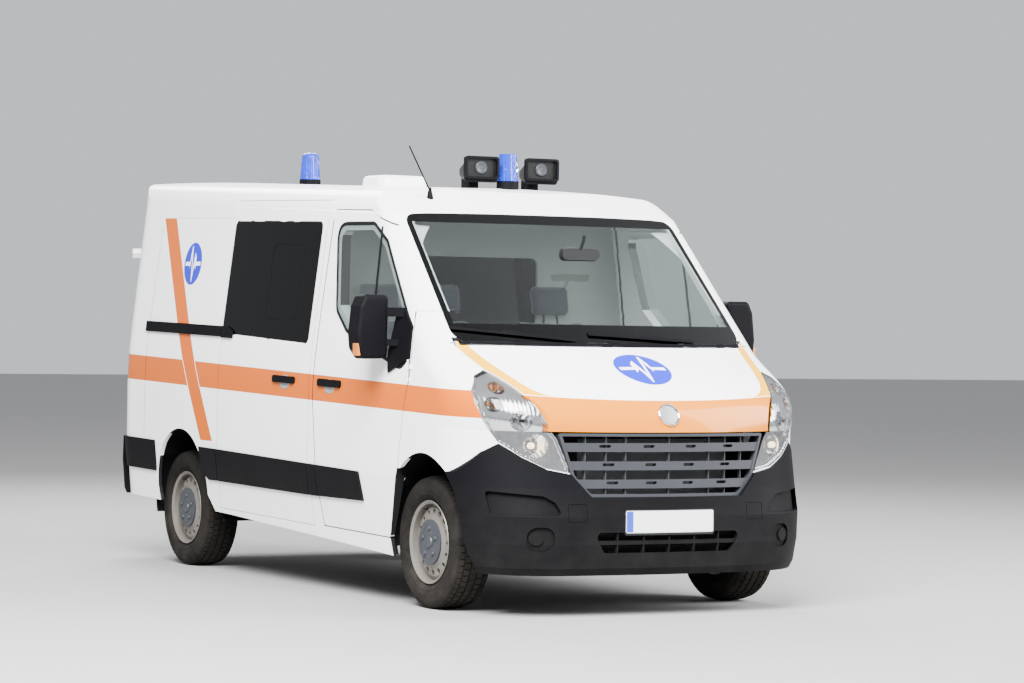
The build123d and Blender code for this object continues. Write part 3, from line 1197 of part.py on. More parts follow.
# Seats: one for the driver on the left, a double one beside it
SEAT_SIDE = [
    (600, FLOOR_TOP + SEAT_GAP), (1060, FLOOR_TOP + SEAT_GAP), (1075, 760), (1125, 780), (1238, 1480), (1210, 1510), (1160, 1500),
    (1060, 920), (600, 945), (565, 920), (560, 850), (600, 760),
]
HEADREST = [(1165, 1535), (1235, 1545), (1248, 1700), (1195, 1700)]
SEAT_WIDTHS = [(190.0, 670.0), (-850.0, -80.0)]
HEADREST_MIDDLES = [430.0, -270.0, -650.0]
HEADREST_HALF = 120.0
HEADREST_STEM = band(1185, 1205, 1500, 1550)
with BuildPart() as seats:
    for low, high in SEAT_WIDTHS:
        add(across(side_outline(SEAT_SIDE), low, high))
    for middle in HEADREST_MIDDLES:
        add(across(side_outline(HEADREST), middle - HEADREST_HALF, middle + HEADREST_HALF))
        add(across(side_outline(HEADREST_STEM), middle - 40, middle + 40))
write(seats, "seats")

# Roof gear: low vent, two beacons, two horns and a whip aerial
VENT = {"aft": 2330.0, "half": 171.0, "rise": 60.0}
# x, aft, radius, base height over the roof, dome height
BEACONS = [(0, 940, 62, 42, 150), (0, 3490, 66, 30, 165)]
HORN = {"x": 190.0, "front": 900.0, "rear": 1080.0, "mouth": (210.0, 120.0), "throat": (80.0, 60.0), "rise": 85.0}
AERIAL = {"x": -600.0, "aft": 717.0, "radius": 22.0, "whip": 4.0, "top": (-605.0, 960.0, 2442.0)}
with BuildPart() as roof_vent:
    with BuildSketch(Plane.XY.offset(roof_z(VENT["aft"]) - 60)):
        with Locations((0, aft(VENT["aft"]))):
            RectangleRounded(2 * VENT["half"], 2 * VENT["half"], 90)
    extrude(amount=60 + VENT["rise"], taper=8)
    fillet(roof_vent.faces().sort_by(Axis.Z)[-1].edges(), 30)
    add(SEATED, mode=Mode.SUBTRACT)
write(roof_vent, "roof_vent")
with BuildPart() as beacon_domes:
    for x, beacon_aft, radius, base, dome in BEACONS:
        foot = Plane.XY.offset(roof_z(beacon_aft) + base + SEAT_GAP)
        with BuildSketch(foot):
            with Locations((x, aft(beacon_aft))):
                Circle(radius - 3)
        extrude(amount=dome, taper=4)
    fillet(beacon_domes.faces().filter_by(Axis.Z).sort_by(Axis.Z)[-1].edges(), 30)
write(beacon_domes, "beacon_domes")
with BuildPart() as roof_fittings:
    for x, beacon_aft, radius, base, dome in BEACONS:
        with BuildSketch(Plane.XY.offset(roof_z(beacon_aft) - 60)):
            with Locations((x, aft(beacon_aft))):
                Circle(radius)
        extrude(amount=60 + base)
    for hand in (1, -1):
        middle_z = roof_z(HORN["rear"]) + HORN["rise"]
        for start, size in ((HORN["front"], HORN["mouth"]), (HORN["rear"], HORN["throat"])):
            with BuildSketch(Plane((hand * HORN["x"], aft(start), middle_z), x_dir=(1, 0, 0), z_dir=(0, 1, 0))):
                RectangleRounded(*size, 20)
        loft()
        add(block_between(hand * HORN["x"] - 30, hand * HORN["x"] + 30, 985, 1075, roof_z(1000) - 60, middle_z))
    aerial_foot = (AERIAL["x"], aft(AERIAL["aft"]), roof_z(AERIAL["aft"]) - 80)
    with BuildSketch(Plane(aerial_foot)):
        Circle(AERIAL["radius"])
    extrude(amount=72, taper=12)
    add(SEATED, mode=Mode.SUBTRACT)
    whip_foot = Vector(AERIAL["x"], aft(AERIAL["aft"]), roof_z(AERIAL["aft"]) - 30)
    whip_top = Vector(AERIAL["top"][0], aft(AERIAL["top"][1]), AERIAL["top"][2])
    with BuildSketch(Plane(whip_foot, z_dir=whip_top - whip_foot)):
        Circle(AERIAL["whip"])
    extrude(amount=(whip_top - whip_foot).length)
write(roof_fittings, "roof_fittings")

# Wipers, lying just over the glass: outlines in the front view
WIPERS = [
    [(-867, 1449), (-278, 1396), (-278, 1410), (-867, 1463)],
    [(-640, 1436), (-262, 1393), (-244, 1404), (-600, 1448)],
    [(-158, 1426), (386, 1398), (386, 1412), (-158, 1440)],
    [(120, 1420), (490, 1392), (500, 1404), (140, 1430)],
]
WIPER_RISE = body_block(-16)
with BuildPart() as wipers:
    for blade in WIPERS:
        with BuildPart(mode=Mode.PRIVATE) as wiper:
            add(WIPER_RISE)
            extrude(front_outline(blade), amount=SCREEN_REACH, mode=Mode.INTERSECT)
            add(SEATED, mode=Mode.SUBTRACT)
        add(wiper.part)
write(wipers, "wipers")
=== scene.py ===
# %% [markdown]
# # An ambulance on a short panel van
#
# This notebook dresses a finished CAD model of an ambulance. The CAD model brings every panel, wheel,
# lamp and hinge as its own node, already in place. Blender adds what a drawing can't say: paint and its
# stripes, glass, rubber, cloth, tread, bolts and lamp bulbs. Then it lights the van and looks at it from
# the front right, a little above wheel height.
#
# All sizes are in metres. X runs to the vehicle's left, Y to its rear and Z up from the ground.

import json
import math

import bmesh
import bpy
from mathutils import Matrix, Vector
from mathutils.bvhtree import BVHTree


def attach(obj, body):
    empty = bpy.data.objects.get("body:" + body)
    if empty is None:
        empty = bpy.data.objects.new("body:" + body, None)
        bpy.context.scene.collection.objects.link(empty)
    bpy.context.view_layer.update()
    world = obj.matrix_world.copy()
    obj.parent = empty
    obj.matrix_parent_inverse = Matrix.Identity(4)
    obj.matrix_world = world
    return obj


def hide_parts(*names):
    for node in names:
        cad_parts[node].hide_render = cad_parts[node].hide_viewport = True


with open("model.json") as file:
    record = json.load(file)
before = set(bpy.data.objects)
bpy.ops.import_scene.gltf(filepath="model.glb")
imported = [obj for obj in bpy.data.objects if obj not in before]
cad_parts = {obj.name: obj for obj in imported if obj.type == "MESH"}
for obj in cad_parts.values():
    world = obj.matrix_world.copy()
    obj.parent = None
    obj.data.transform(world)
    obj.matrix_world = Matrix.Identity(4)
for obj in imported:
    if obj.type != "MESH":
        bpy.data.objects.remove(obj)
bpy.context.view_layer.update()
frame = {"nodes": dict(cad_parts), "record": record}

# %% [markdown]
# ## Small helpers for materials
#
# Every finish on the van is a procedural material: a Principled BSDF shader fed by noise, waves and
# simple arithmetic on the position of each point. The Object output of the Texture Coordinate node is
# used for position. A CAD node sits at the origin, so its object coordinates are the van's own metres,
# and they keep their meaning when a door or the bonnet swings open.


# %% New material and its colours
def new_material(name, **sockets):
    """An empty Principled material with plain values set straight on the shader's sockets."""
    material = bpy.data.materials.new(name)
    material.use_nodes = True
    shader = material.node_tree.nodes["Principled BSDF"]
    for socket, value in sockets.items():
        shader.inputs[socket.replace("_", " ")].default_value = value
    return material


def rgb(red, green, blue):
    """A colour from 0 to 255 display values, as the linear colour that a shader needs."""
    parts = [v / 255 for v in (red, green, blue)]
    return (*[v / 12.92 if v <= 0.04045 else ((v + 0.055) / 1.055) ** 2.4 for v in parts], 1)


def dimmed(colour, share):
    """The same colour with this share of its light."""
    return (*[v * share for v in colour[:3]], 1)


print("material and colour helpers ready")


# %% Nodes and arithmetic
def owner(*terms):
    """The node tree of the first socket among the terms."""
    return next(term.id_data for term in terms if isinstance(term, bpy.types.NodeSocket))


def feed(source, socket):
    """Links a socket, or sets a plain number or colour."""
    if isinstance(source, bpy.types.NodeSocket):
        owner(socket).links.new(source, socket)
    else:
        socket.default_value = source


def add_node(tree, kind, **values):
    """One node with its sockets fed by name."""
    node = tree.nodes.new("ShaderNode" + kind)
    for name, value in values.items():
        feed(value, node.inputs[name.replace("_", " ")])
    return node


def to_shader(socket, source):
    """Feeds a socket of the material's own shader."""
    feed(source, owner(source).nodes["Principled BSDF"].inputs[socket])


def calc(operation, *terms, clamp=False):
    """A Math node on one to three terms, each a socket or a number."""
    node = owner(*terms).nodes.new("ShaderNodeMath")
    node.operation = operation
    node.use_clamp = clamp
    for socket, term in zip(node.inputs, terms):
        feed(term, socket)
    return node.outputs[0]


def mix(share, first, second):
    """A colour between two colours, by a mask."""
    node = owner(share).nodes.new("ShaderNodeMix")
    node.data_type = "RGBA"
    feed(share, node.inputs[0])
    feed(first, node.inputs[6])
    feed(second, node.inputs[7])
    return node.outputs[2]


print("node helpers ready")


# %% Noise, relief, masks and curves
def noise(place, **values):
    """A noise texture read at a place."""
    return add_node(owner(place), "TexNoise", Vector=place, **values).outputs["Fac"]


def mottled(place, first, second, **values):
    """A colour that wanders between two colours by noise."""
    return mix(noise(place, **values), first, second)


def emboss(height, strength, distance):
    """Moves the shader's surface in and out by a height."""
    press = add_node(owner(height), "Bump", Height=height, Strength=strength, Distance=distance)
    to_shader("Normal", press.outputs["Normal"])


def between(value, low, high, soft=0.0008):
    """A mask that is 1 where low < value < high, with a thin soft edge."""
    up = calc("DIVIDE", calc("SUBTRACT", value, low), soft, clamp=True)
    down = calc("DIVIDE", calc("SUBTRACT", high, value), soft, clamp=True)
    return calc("MULTIPLY", up, down)


def read_curve(value, points, straight=False):
    """Reads a value off a smooth curve through points, or off straight lines between them."""
    node = add_node(owner(value), "FloatCurve", Value=value)
    curve = node.mapping.curves[0]
    curve.points[0].location, curve.points[1].location = points[0], points[-1]
    for point in points[1:-1]:
        curve.points.new(*point)
    for point in curve.points if straight else ():
        point.handle_type = "VECTOR"
    node.mapping.update()
    return node.outputs["Value"]


print("texture helpers ready")


# %% Places and groups
def split(vector):
    """X, Y and Z of a vector."""
    return add_node(owner(vector), "SeparateXYZ", Vector=vector).outputs


def place_of(material):
    """The point's position, its X, Y and Z, and those of the outward normal."""
    coordinates = add_node(material.node_tree, "TexCoord")
    place = coordinates.outputs["Object"]
    return place, split(place), split(coordinates.outputs["Normal"])


def new_group(name, inputs, outputs):
    """A shader node group. Inputs and outputs are (name, kind, default) and (name, kind)."""
    tree = bpy.data.node_groups.new(name, "ShaderNodeTree")
    for label, kind, default in inputs:
        socket = tree.interface.new_socket(label, in_out="INPUT", socket_type="NodeSocket" + kind)
        if default is not None:
            socket.default_value = default
    for label, kind in outputs:
        tree.interface.new_socket(label, in_out="OUTPUT", socket_type="NodeSocket" + kind)
    start = tree.nodes.new("NodeGroupInput")
    end = tree.nodes.new("NodeGroupOutput")
    return tree, start.outputs, end.inputs


def use_group(group, **values):
    """Places a group in a material, with its own values."""
    node = owner(*values.values()).nodes.new("ShaderNodeGroup")
    node.node_tree = group
    for name, value in values.items():
        feed(value, node.inputs[name.replace("_", " ")])
    return node.outputs


print("group helpers ready")

# %% [markdown]
# ## Grain: the fine unevenness of every surface
#
# Moulded plastic has a leather-like grain, paint a faint orange peel, and cast metal a rough skin. They
# are all one thing at different scales: noise that moves the surface in and out and changes how it
# shines. One group does it, and each material places it with its own scale.

# %% Group: grain
grain_group, given, out = new_group(
    "grain",
    [("Place", "Vector", None), ("Scale", "Float", 400.0), ("Roughness low", "Float", 0.4),
     ("Roughness high", "Float", 0.6)],
    [("Height", "Float"), ("Roughness", "Float")],
)
speckle = noise(given["Place"], Scale=given["Scale"], Detail=4.0, Roughness=0.6)
feed(speckle, out["Height"])
patches = noise(given["Place"], Scale=3.0, Detail=3.0)
spread = calc("SUBTRACT", given["Roughness high"], given["Roughness low"])
blotch = calc("MULTIPLY", patches, spread)
feed(calc("ADD", blotch, given["Roughness low"]), out["Roughness"])
print("group", grain_group.name)

# %% [markdown]
# ## Dust: what the road throws up
#
# A van that works in a town carries grey dust low down: on the bumpers, the sills and the tyres. The
# mask is strongest at the ground, fades with height and is broken up by noise.

# %% Group: road dust
dust_group, given, out = new_group(
    "road dust",
    [("Place", "Vector", None), ("Top", "Float", 0.9), ("Amount", "Float", 0.5)],
    [("Mask", "Float")],
)
height = split(given["Place"])["Z"]
fade = calc("SUBTRACT", 1.0, calc("DIVIDE", height, given["Top"]), clamp=True)
cloud = noise(given["Place"], Scale=9.0, Detail=6.0, Roughness=0.65)
broken = calc("MULTIPLY_ADD", cloud, 1.6, -0.35, clamp=True)
settled = calc("MULTIPLY", fade, broken)
feed(calc("MULTIPLY", settled, given["Amount"], clamp=True), out["Mask"])
DUST = rgb(150, 142, 130)
print("group", dust_group.name)


# %% A plain finish made of grain, dust and two close colours
def finish(name, colour, other, scale, shine, bump=0.1, dust=0.0, dust_top=0.9, depth=0.001, **sockets):
    """A material with mottled colour, grain in the surface, changing gloss and road dust."""
    material = new_material(name, **sockets)
    place, _, _ = place_of(material)
    low, high = shine
    grain = use_group(grain_group, Place=place, Scale=scale, Roughness_low=low, Roughness_high=high)
    base = mottled(place, colour, other, Scale=6.0, Detail=5.0)
    if dust:
        dirt = use_group(dust_group, Place=place, Top=dust_top, Amount=dust)["Mask"]
        base = mix(dirt, base, DUST)
    to_shader("Base Color", base)
    to_shader("Roughness", grain["Roughness"])
    if bump:
        emboss(grain["Height"], bump, depth)
    return material


print("plain finish ready")

# %% [markdown]
# ## The livery: orange bands on white paint
#
# A broad orange band runs along each side just under the door handles and climbs gently to the rear. A
# second one leans across the rear quarter, from the gutter to the moulding, and thin white lines mark
# where the two foils meet. Real bands are foil on paint, so here they are masks in the paint: straight
# lines in side view, kept off the inner faces by the direction that the surface points.

# %% Sizes of the livery, from the side view
ORANGE = rgb(196, 92, 0)
WHITE = rgb(250, 251, 252)
LINING = rgb(176, 178, 176)
BAND_TOP = {"height": 1.1969, "climb": 0.02608}
BAND_FOOT = {"height": 1.0521, "climb": 0.02243}
LEAN_FRONT = {"y": 0.891, "z": 0.737, "lean": 0.622}
LEAN_REAR = {"y": 1.061, "z": 0.736, "lean": 0.627}
GUTTER = {"height": 2.0505, "climb": 0.0192}
KEYLINE = 0.0035
LEAN_FOOT = 0.765
REAR_PANEL_FROM = 2.2
FACES_OUT, FACES_IN = 0.25, -0.5
print("band heights at the middle", BAND_FOOT["height"], "to", BAND_TOP["height"])

# %% Group: livery masks
livery_group, given, out = new_group(
    "side livery",
    [("Place", "Vector", None), ("Direction", "Vector", None)],
    [("Band", "Float"), ("Keyline", "Float"), ("Inside", "Float")],
)
x, y, z = split(given["Place"])
facing = split(given["Direction"])


def line_height(y, line):
    return calc("MULTIPLY_ADD", y, line["climb"], line["height"])


def lean_place(z, line):
    return calc("MULTIPLY_ADD", z, line["lean"], line["y"] - line["lean"] * line["z"])


band = between(z, line_height(y, BAND_FOOT), line_height(y, BAND_TOP))
lean_front, lean_rear = lean_place(z, LEAN_FRONT), lean_place(z, LEAN_REAR)
lean = between(y, lean_front, lean_rear)
lean = calc("MULTIPLY", lean, calc("LESS_THAN", z, line_height(y, GUTTER)))
lean = calc("MULTIPLY", lean, calc("GREATER_THAN", z, LEAN_FOOT))
edges = calc("MINIMUM", *[calc("ABSOLUTE", calc("SUBTRACT", y, line)) for line in (lean_front, lean_rear)])
key = calc("MULTIPLY", calc("LESS_THAN", edges, KEYLINE), band)
outward = calc("MULTIPLY", calc("SIGN", x), facing["X"])
behind = calc("MULTIPLY", facing["Y"], calc("GREATER_THAN", y, REAR_PANEL_FROM))
turned_out = calc("MAXIMUM", outward, behind)
on_skin = calc("GREATER_THAN", turned_out, FACES_OUT)
feed(calc("MULTIPLY", calc("MAXIMUM", band, lean), on_skin), out["Band"])
feed(key, out["Keyline"])
feed(calc("LESS_THAN", turned_out, FACES_IN), out["Inside"])
print("group", livery_group.name)

# %% [markdown]
# ## A plain medical sign
#
# The sides and the bonnet carry a round blue sign with a white heartbeat line, the plainest sign that
# says first aid. It is a disc in two flat coordinates, with a zigzag given by a curve node, so the same
# group paints it on an upright side and on the sloping bonnet.

# %% Group: round sign with a heartbeat line
sign_group, given, out = new_group(
    "heartbeat sign",
    [("Across", "Float", 0.0), ("Up", "Float", 0.0), ("Radius", "Float", 0.1)],
    [("Disc", "Float"), ("Line", "Float")],
)
SIGN_BLUE = rgb(20, 36, 190)
PULSE = [(0.0, 0.5), (0.34, 0.5), (0.42, 0.62), (0.5, 0.16), (0.6, 0.86), (0.67, 0.5), (1.0, 0.5)]
u = calc("DIVIDE", given["Across"], given["Radius"])
v = calc("DIVIDE", given["Up"], given["Radius"])
span = calc("SQRT", calc("ADD", calc("MULTIPLY", u, u), calc("MULTIPLY", v, v)))
disc = between(span, -1.0, 1.0, soft=0.02)
pulse = read_curve(calc("MULTIPLY_ADD", u, 0.5, 0.5), PULSE, straight=True)
wave = calc("MULTIPLY_ADD", pulse, 2.0, -1.0)
gap = calc("ABSOLUTE", calc("SUBTRACT", v, wave))
steep = between(u, -0.32, 0.34, soft=0.01)
reach = calc("MULTIPLY_ADD", steep, 0.2, 0.09)
line = calc("LESS_THAN", gap, reach)
feed(disc, out["Disc"])
feed(calc("MULTIPLY", line, between(span, -1.0, 0.86, soft=0.02)), out["Line"])


def add_sign(colour, where, **values):
    """Paints the sign over a colour, where the mask allows it."""
    sign = use_group(sign_group, **values)
    for part, paint in (("Disc", SIGN_BLUE), ("Line", WHITE)):
        colour = mix(calc("MULTIPLY", sign[part], where), colour, paint)
    return colour


print("group", sign_group.name)

# %% [markdown]
# ## Body paint
#
# White gloss paint under a clear coat. The coat's faint orange peel comes from the grain group at a
# scale of a few millimetres. The inner faces of doors and walls show the grey lining of the load space
# and cab instead, which the livery group reports as Inside.

# %% Material: side paint
SIDE_SIGN = {"y": 1.394, "z": 1.806, "radius": 0.128}
# painted shade: the colour given to the white edge faces of panels, standing in for shade in the gaps
GAP_SHADE = rgb(26, 26, 28)
# narrow faces between these limits are the edges of panels, painted dark as the shade that falls in the gaps
# between them
GAP_SHADE_SPAN = {"x": (0.86, 1.2), "y": (-1.95, 2.40), "z": (0.2, 2.04)}


def paint_base(name):
    """Paint under a clear coat with orange peel, ready for its colours and bands."""
    material = new_material(name, Coat_Weight=0.22, Coat_Roughness=0.04, Specular_IOR_Level=0.12)
    place, at, facing = place_of(material)
    peel = use_group(grain_group, Place=place, Scale=160.0, Roughness_low=0.24, Roughness_high=0.34)
    to_shader("Roughness", peel["Roughness"])
    emboss(peel["Height"], 0.02, 0.001)
    return material, place, at, facing


side_paint, place, (x, y, z), facing = paint_base("side paint")
dirt = use_group(dust_group, Place=place, Top=0.75, Amount=0.35)["Mask"]
livery = use_group(livery_group, Place=place, Direction=place.node.outputs["Normal"])
outer = calc("GREATER_THAN", calc("MULTIPLY", calc("SIGN", x), facing[0]), FACES_OUT)
colour = mix(livery["Band"], WHITE, ORANGE)
colour = mix(livery["Keyline"], colour, WHITE)
colour = add_sign(
    colour, outer, Across=calc("SUBTRACT", y, SIDE_SIGN["y"]), Up=calc("SUBTRACT", z, SIDE_SIGN["z"]),
    Radius=SIDE_SIGN["radius"],
)
colour = mix(dirt, colour, DUST)
# painted shade: edge faces of doors and panels along Y or Z are coloured dark, as the gaps between panels
# look in shade
outside_x = calc("ABSOLUTE", x)
along = calc("GREATER_THAN", calc("ABSOLUTE", facing[1]), 0.85)
level = calc("GREATER_THAN", calc("ABSOLUTE", facing[2]), 0.9)
edge = calc("MAXIMUM", along, level)
for value, limits in zip((outside_x, y, z), GAP_SHADE_SPAN.values()):
    edge = calc("MULTIPLY", edge, between(value, *limits))
colour = mix(edge, colour, GAP_SHADE)
to_shader("Base Color", mix(livery["Inside"], colour, LINING))
print("material", side_paint.name)

# %% [markdown]
# ## Bonnet paint
#
# The bonnet wears its own band: orange across the nose up to a gently curved line, and two yellow bands
# that run back along its edges and sweep into the orange one. Their inner edge is a curve of width by
# height, read by a curve node, so the sweep stays smooth.

# %% Material: bonnet paint
NOSE_BAND = {"foot": 0.9, "top": 1.1, "bow": 0.039, "keyline": 0.004}
YELLOW = rgb(232, 170, 0)
NOSE_ORANGE = rgb(206, 118, 0)
SWEEP_LOW, SWEEP_HIGH = 1.09, 1.39
SWEEP = [
    (0.0, 0.52), (0.04, 0.54), (0.09, 0.60), (0.16, 0.665), (0.27, 0.711), (0.4, 0.742), (0.63, 0.785),
    (1.0, 0.832),
]
BONNET_SIGN = {"x": 0.0, "y": -2.222, "across": 0.16, "slope": 0.87}
FACES_UP = 0.05

bonnet_paint, place, (x, y, z), facing = paint_base("bonnet paint")
nose_top = calc("MULTIPLY_ADD", calc("MULTIPLY", x, x), NOSE_BAND["bow"], NOSE_BAND["top"])
nose = between(z, NOSE_BAND["foot"], nose_top)
share = calc("DIVIDE", calc("SUBTRACT", z, SWEEP_LOW), SWEEP_HIGH - SWEEP_LOW, clamp=True)
wings = between(calc("ABSOLUTE", x), read_curve(share, SWEEP), 2.0)
seam = between(z, nose_top, calc("ADD", nose_top, NOSE_BAND["keyline"]))
upward = calc("GREATER_THAN", facing[2], FACES_UP)
colour = mix(calc("MULTIPLY", wings, upward), WHITE, YELLOW)
colour = mix(nose, colour, NOSE_ORANGE)
colour = mix(seam, colour, WHITE)
colour = add_sign(
    colour, upward, Across=calc("SUBTRACT", x, BONNET_SIGN["x"]),
    Up=calc("DIVIDE", calc("SUBTRACT", y, BONNET_SIGN["y"]), BONNET_SIGN["slope"]),
    Radius=BONNET_SIGN["across"],
)
to_shader("Base Color", colour)
print("material", bonnet_paint.name)

# %% [markdown]
# ## Plastics, metals, rubber and cloth
#
# Most other finishes are the same recipe with other numbers: two close colours mottled together, a grain
# at the right scale and some dust. Bumpers and mouldings have the coarse leather grain of unpainted
# plastic, the grille a finer one, the axles rough black paint.

# %% Plain finishes
dark_plastic = finish(
    "textured dark plastic", rgb(8, 8, 10), rgb(14, 14, 17), 900.0, (0.5, 0.64), bump=0.25,
    dust=0.04, dust_top=0.7, Specular_IOR_Level=0.05,
)
grey_plastic = finish(
    "dark silver grille plastic", rgb(46, 48, 52), rgb(56, 58, 62), 700.0, (0.3, 0.42), bump=0.08,
    Specular_IOR_Level=0.2,
)
grey_panel = finish("grey inner panel", rgb(150, 152, 150), rgb(164, 166, 164), 500.0, (0.5, 0.6))
cabin_plastic = finish(
    "cabin plastic", rgb(14, 15, 17), rgb(22, 23, 25), 1200.0, (0.5, 0.66), bump=0.3, Specular_IOR_Level=0.25,
)
cast_metal = finish(
    "cast metal", rgb(84, 86, 88), rgb(64, 66, 66), 260.0, (0.45, 0.7), bump=0.4, Metallic=0.8,
)
chassis_steel = finish(
    "black chassis paint", rgb(10, 10, 11), rgb(18, 18, 18), 300.0, (0.5, 0.7), bump=0.2,
    dust=0.1, dust_top=1.2, Specular_IOR_Level=0.06,
)
exhaust_steel = finish(
    "dull exhaust steel", rgb(126, 118, 108), rgb(98, 84, 72), 200.0, (0.35, 0.6), bump=0.15,
    dust=0.4, dust_top=1.0, Metallic=1.0,
)
wheel_steel = finish(
    "silver wheel paint", rgb(112, 109, 104), rgb(88, 84, 78), 400.0, (0.34, 0.5), bump=0.05,
    dust=0.35, dust_top=1.1, Metallic=0.35,
)
tyre_rubber = finish(
    "dusty tyre rubber", rgb(10, 10, 11), rgb(17, 16, 16), 500.0, (0.7, 0.86), bump=0.3,
    dust=0.1, dust_top=1.2, Specular_IOR_Level=0.06,
)
black_rubber = finish(
    "black seal rubber", rgb(6, 6, 7), rgb(10, 10, 11), 600.0, (0.5, 0.65), Specular_IOR_Level=0.2,
)
print("plain finishes", len(bpy.data.materials))

# %% [markdown]
# ## Glass and lamps
#
# Window glass is solid in the CAD model, so light bends into and out of it as it should. The
# windscreen's edge carries the black printed band that hides the glue, drawn as a mask from the
# outline in front view. Side glass in the load space is tinted almost black and mirrors little.

# %% Materials: windscreen, side glass, tinted glass
FRIT = {
    "top": 2.018, "foot": 1.478, "side": 0.874, "side_climb": -0.0735, "side_from": 1.392, "width": 0.026,
}
FRIT_BLACK = (0.003, 0.003, 0.003, 1)


def inside_frit(at):
    """A mask that is 1 where the windscreen is clear, inside its printed band."""
    x, _, z = at
    side = FRIT["side"] - FRIT["side_climb"] * FRIT["side_from"]
    edge_x = calc("MULTIPLY_ADD", z, FRIT["side_climb"], side)
    clear_x = calc("LESS_THAN", calc("ABSOLUTE", x), calc("SUBTRACT", edge_x, FRIT["width"]))
    return calc("MULTIPLY", clear_x, between(z, FRIT["foot"], FRIT["top"], soft=0.002))


def glass(name, tint, bend=1.45, clear=None):
    """Tinted glass with a faint smear. Outside the clear mask it is printed black."""
    material = new_material(name, Roughness=0.0, IOR=bend, Transmission_Weight=1.0)
    place, at, _ = place_of(material)
    film = noise(place, Scale=5.0, Detail=5.0)
    to_shader("Roughness", calc("MULTIPLY", film, 0.03))
    shade = mix(film, tint, dimmed(tint, 0.96))
    if clear:
        shade = mix(clear(at), FRIT_BLACK, shade)
    to_shader("Base Color", shade)
    return material


screen_glass = glass("windscreen glass", (0.86, 0.93, 0.91, 1), clear=inside_frit)
side_glass = glass("cab side glass", (0.62, 0.7, 0.68, 1))
tinted_glass = glass("tinted glass", (0.004, 0.0045, 0.005, 1), 1.16)
lens_glass = glass("lamp lens", (0.97, 0.98, 0.98, 1))
print("glass ready")


# %% Materials: lamp bowls, coloured lenses
def ribbed(name, colour, axis, pitch, depth, **sockets):
    """A glossy material with fine ribs across one axis, as lamp lenses and beacons have."""
    material = new_material(name, **sockets)
    place, at, _ = place_of(material)
    emboss(calc("SINE", calc("MULTIPLY", at[axis], 2 * math.pi / pitch)), depth, 0.002)
    to_shader("Base Color", mottled(place, colour, dimmed(colour, 0.82), Scale=12.0, Detail=3.0))
    return material


X_AXIS, Z_AXIS = 0, 2
lamp_chrome = ribbed(
    "lamp bowl chrome", (0.9, 0.9, 0.92, 1), X_AXIS, 0.018, 0.3, Metallic=1.0, Roughness=0.14,
)
blue_lens = ribbed(
    "blue beacon lens", rgb(30, 70, 235), X_AXIS, 0.012, 0.5, Roughness=0.12, Transmission_Weight=0.55,
)
red_lens = ribbed(
    "red lamp lens", rgb(178, 16, 22), Z_AXIS, 0.012, 0.3, Roughness=0.1, Transmission_Weight=0.25,
)
amber_lens = ribbed(
    "amber lamp lens", rgb(245, 150, 60), Z_AXIS, 0.008, 0.3, Roughness=0.12, Transmission_Weight=0.5,
)
print("lamps ready")

# %% [markdown]
# ## Cloth for the seats
#
# The seats wear a dark woven cloth. Two crossed waves make the weave and a sheen lifts it where the
# cloth turns away, which is what tells cloth from plastic behind glass.

# %% Material: seat cloth
THREAD = 0.0022
seat_cloth = new_material("woven seat cloth", Sheen_Weight=0.4, Sheen_Roughness=0.5, Roughness=0.9)
place, (x, y, z), _ = place_of(seat_cloth)
ways = (x, calc("ADD", y, z))
warp, weft = [calc("SINE", calc("MULTIPLY", way, 2 * math.pi / THREAD)) for way in ways]
emboss(calc("MULTIPLY", warp, weft), 0.4, 0.0006)
weave = mottled(place, rgb(38, 42, 50), rgb(62, 66, 74), Scale=60.0, Detail=4.0)
to_shader("Base Color", weave)
print("material", seat_cloth.name)

# %% [markdown]
# ## Dressing the CAD nodes
#
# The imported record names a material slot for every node. One table says which Blender material each
# slot gets, and a short second table names the few nodes that differ from their slot.

# %% Put the materials on the CAD nodes
SLOT_FINISH = {
    "body_white": side_paint, "dark_plastic": dark_plastic, "grey_plastic": grey_plastic,
    "clear_glass": side_glass, "tinted_glass": tinted_glass, "lamp_chrome": lamp_chrome,
    "lamp_lens": lens_glass, "red_lens": red_lens, "blue_lens": blue_lens, "grey_panel": grey_panel,
    "cabin_plastic": cabin_plastic, "seat_fabric": seat_cloth, "cast_metal": cast_metal,
    "chassis_steel": chassis_steel, "exhaust_steel": exhaust_steel, "tyre_rubber": tyre_rubber,
    "wheel_steel": wheel_steel,
}
NODE_FINISH = {
    "bonnet": bonnet_paint, "windscreen": screen_glass, "roof_vent": side_paint, "floor_pan": chassis_steel,
}
for part in frame["record"]["subparts"]:
    node = frame["nodes"][part["node"]]
    chosen = NODE_FINISH.get(part["node"], SLOT_FINISH[part["material_slot"]])
    for slot in node.material_slots:
        slot.material = chosen

# %% [markdown]
# ## Helpers for added pieces
#
# Blender adds what is too fine for the CAD model. Each piece is built in mesh code from a few numbers: a
# profile turned about an axle, an outline given a thickness, or a tube along a line. A ray cast on the CAD
# skin gives a point's depth, so seals and plates sit on the real curved panel and follow its door.


# %% A piece that rides on a CAD body
def piece(name, build, material, body="body", smooth=32):
    """A named mesh piece that rides on a CAD body. build fills a bmesh."""
    mesh = bpy.data.meshes.new(name)
    bm = bmesh.new()
    build(bm)
    bmesh.ops.recalc_face_normals(bm, faces=bm.faces)
    bm.to_mesh(mesh)
    bm.free()
    for polygon in mesh.polygons:
        polygon.use_smooth = True
    mesh.set_sharp_from_angle(angle=math.radians(smooth))
    mesh.materials.append(material)
    made = bpy.data.objects.new(name, mesh)
    bpy.context.scene.collection.objects.link(made)
    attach(made, body)
    return made


print("piece helper ready")


# %% Faces between rows of points
def band_faces(bm, first, second, wrap=True):
    """Quads between two rows with as many vertices. A wrapped row is a closed ring."""
    count = len(first)
    for k in range(count if wrap else count - 1):
        j = (k + 1) % count
        bm.faces.new((first[k], second[k], second[j], first[j]))


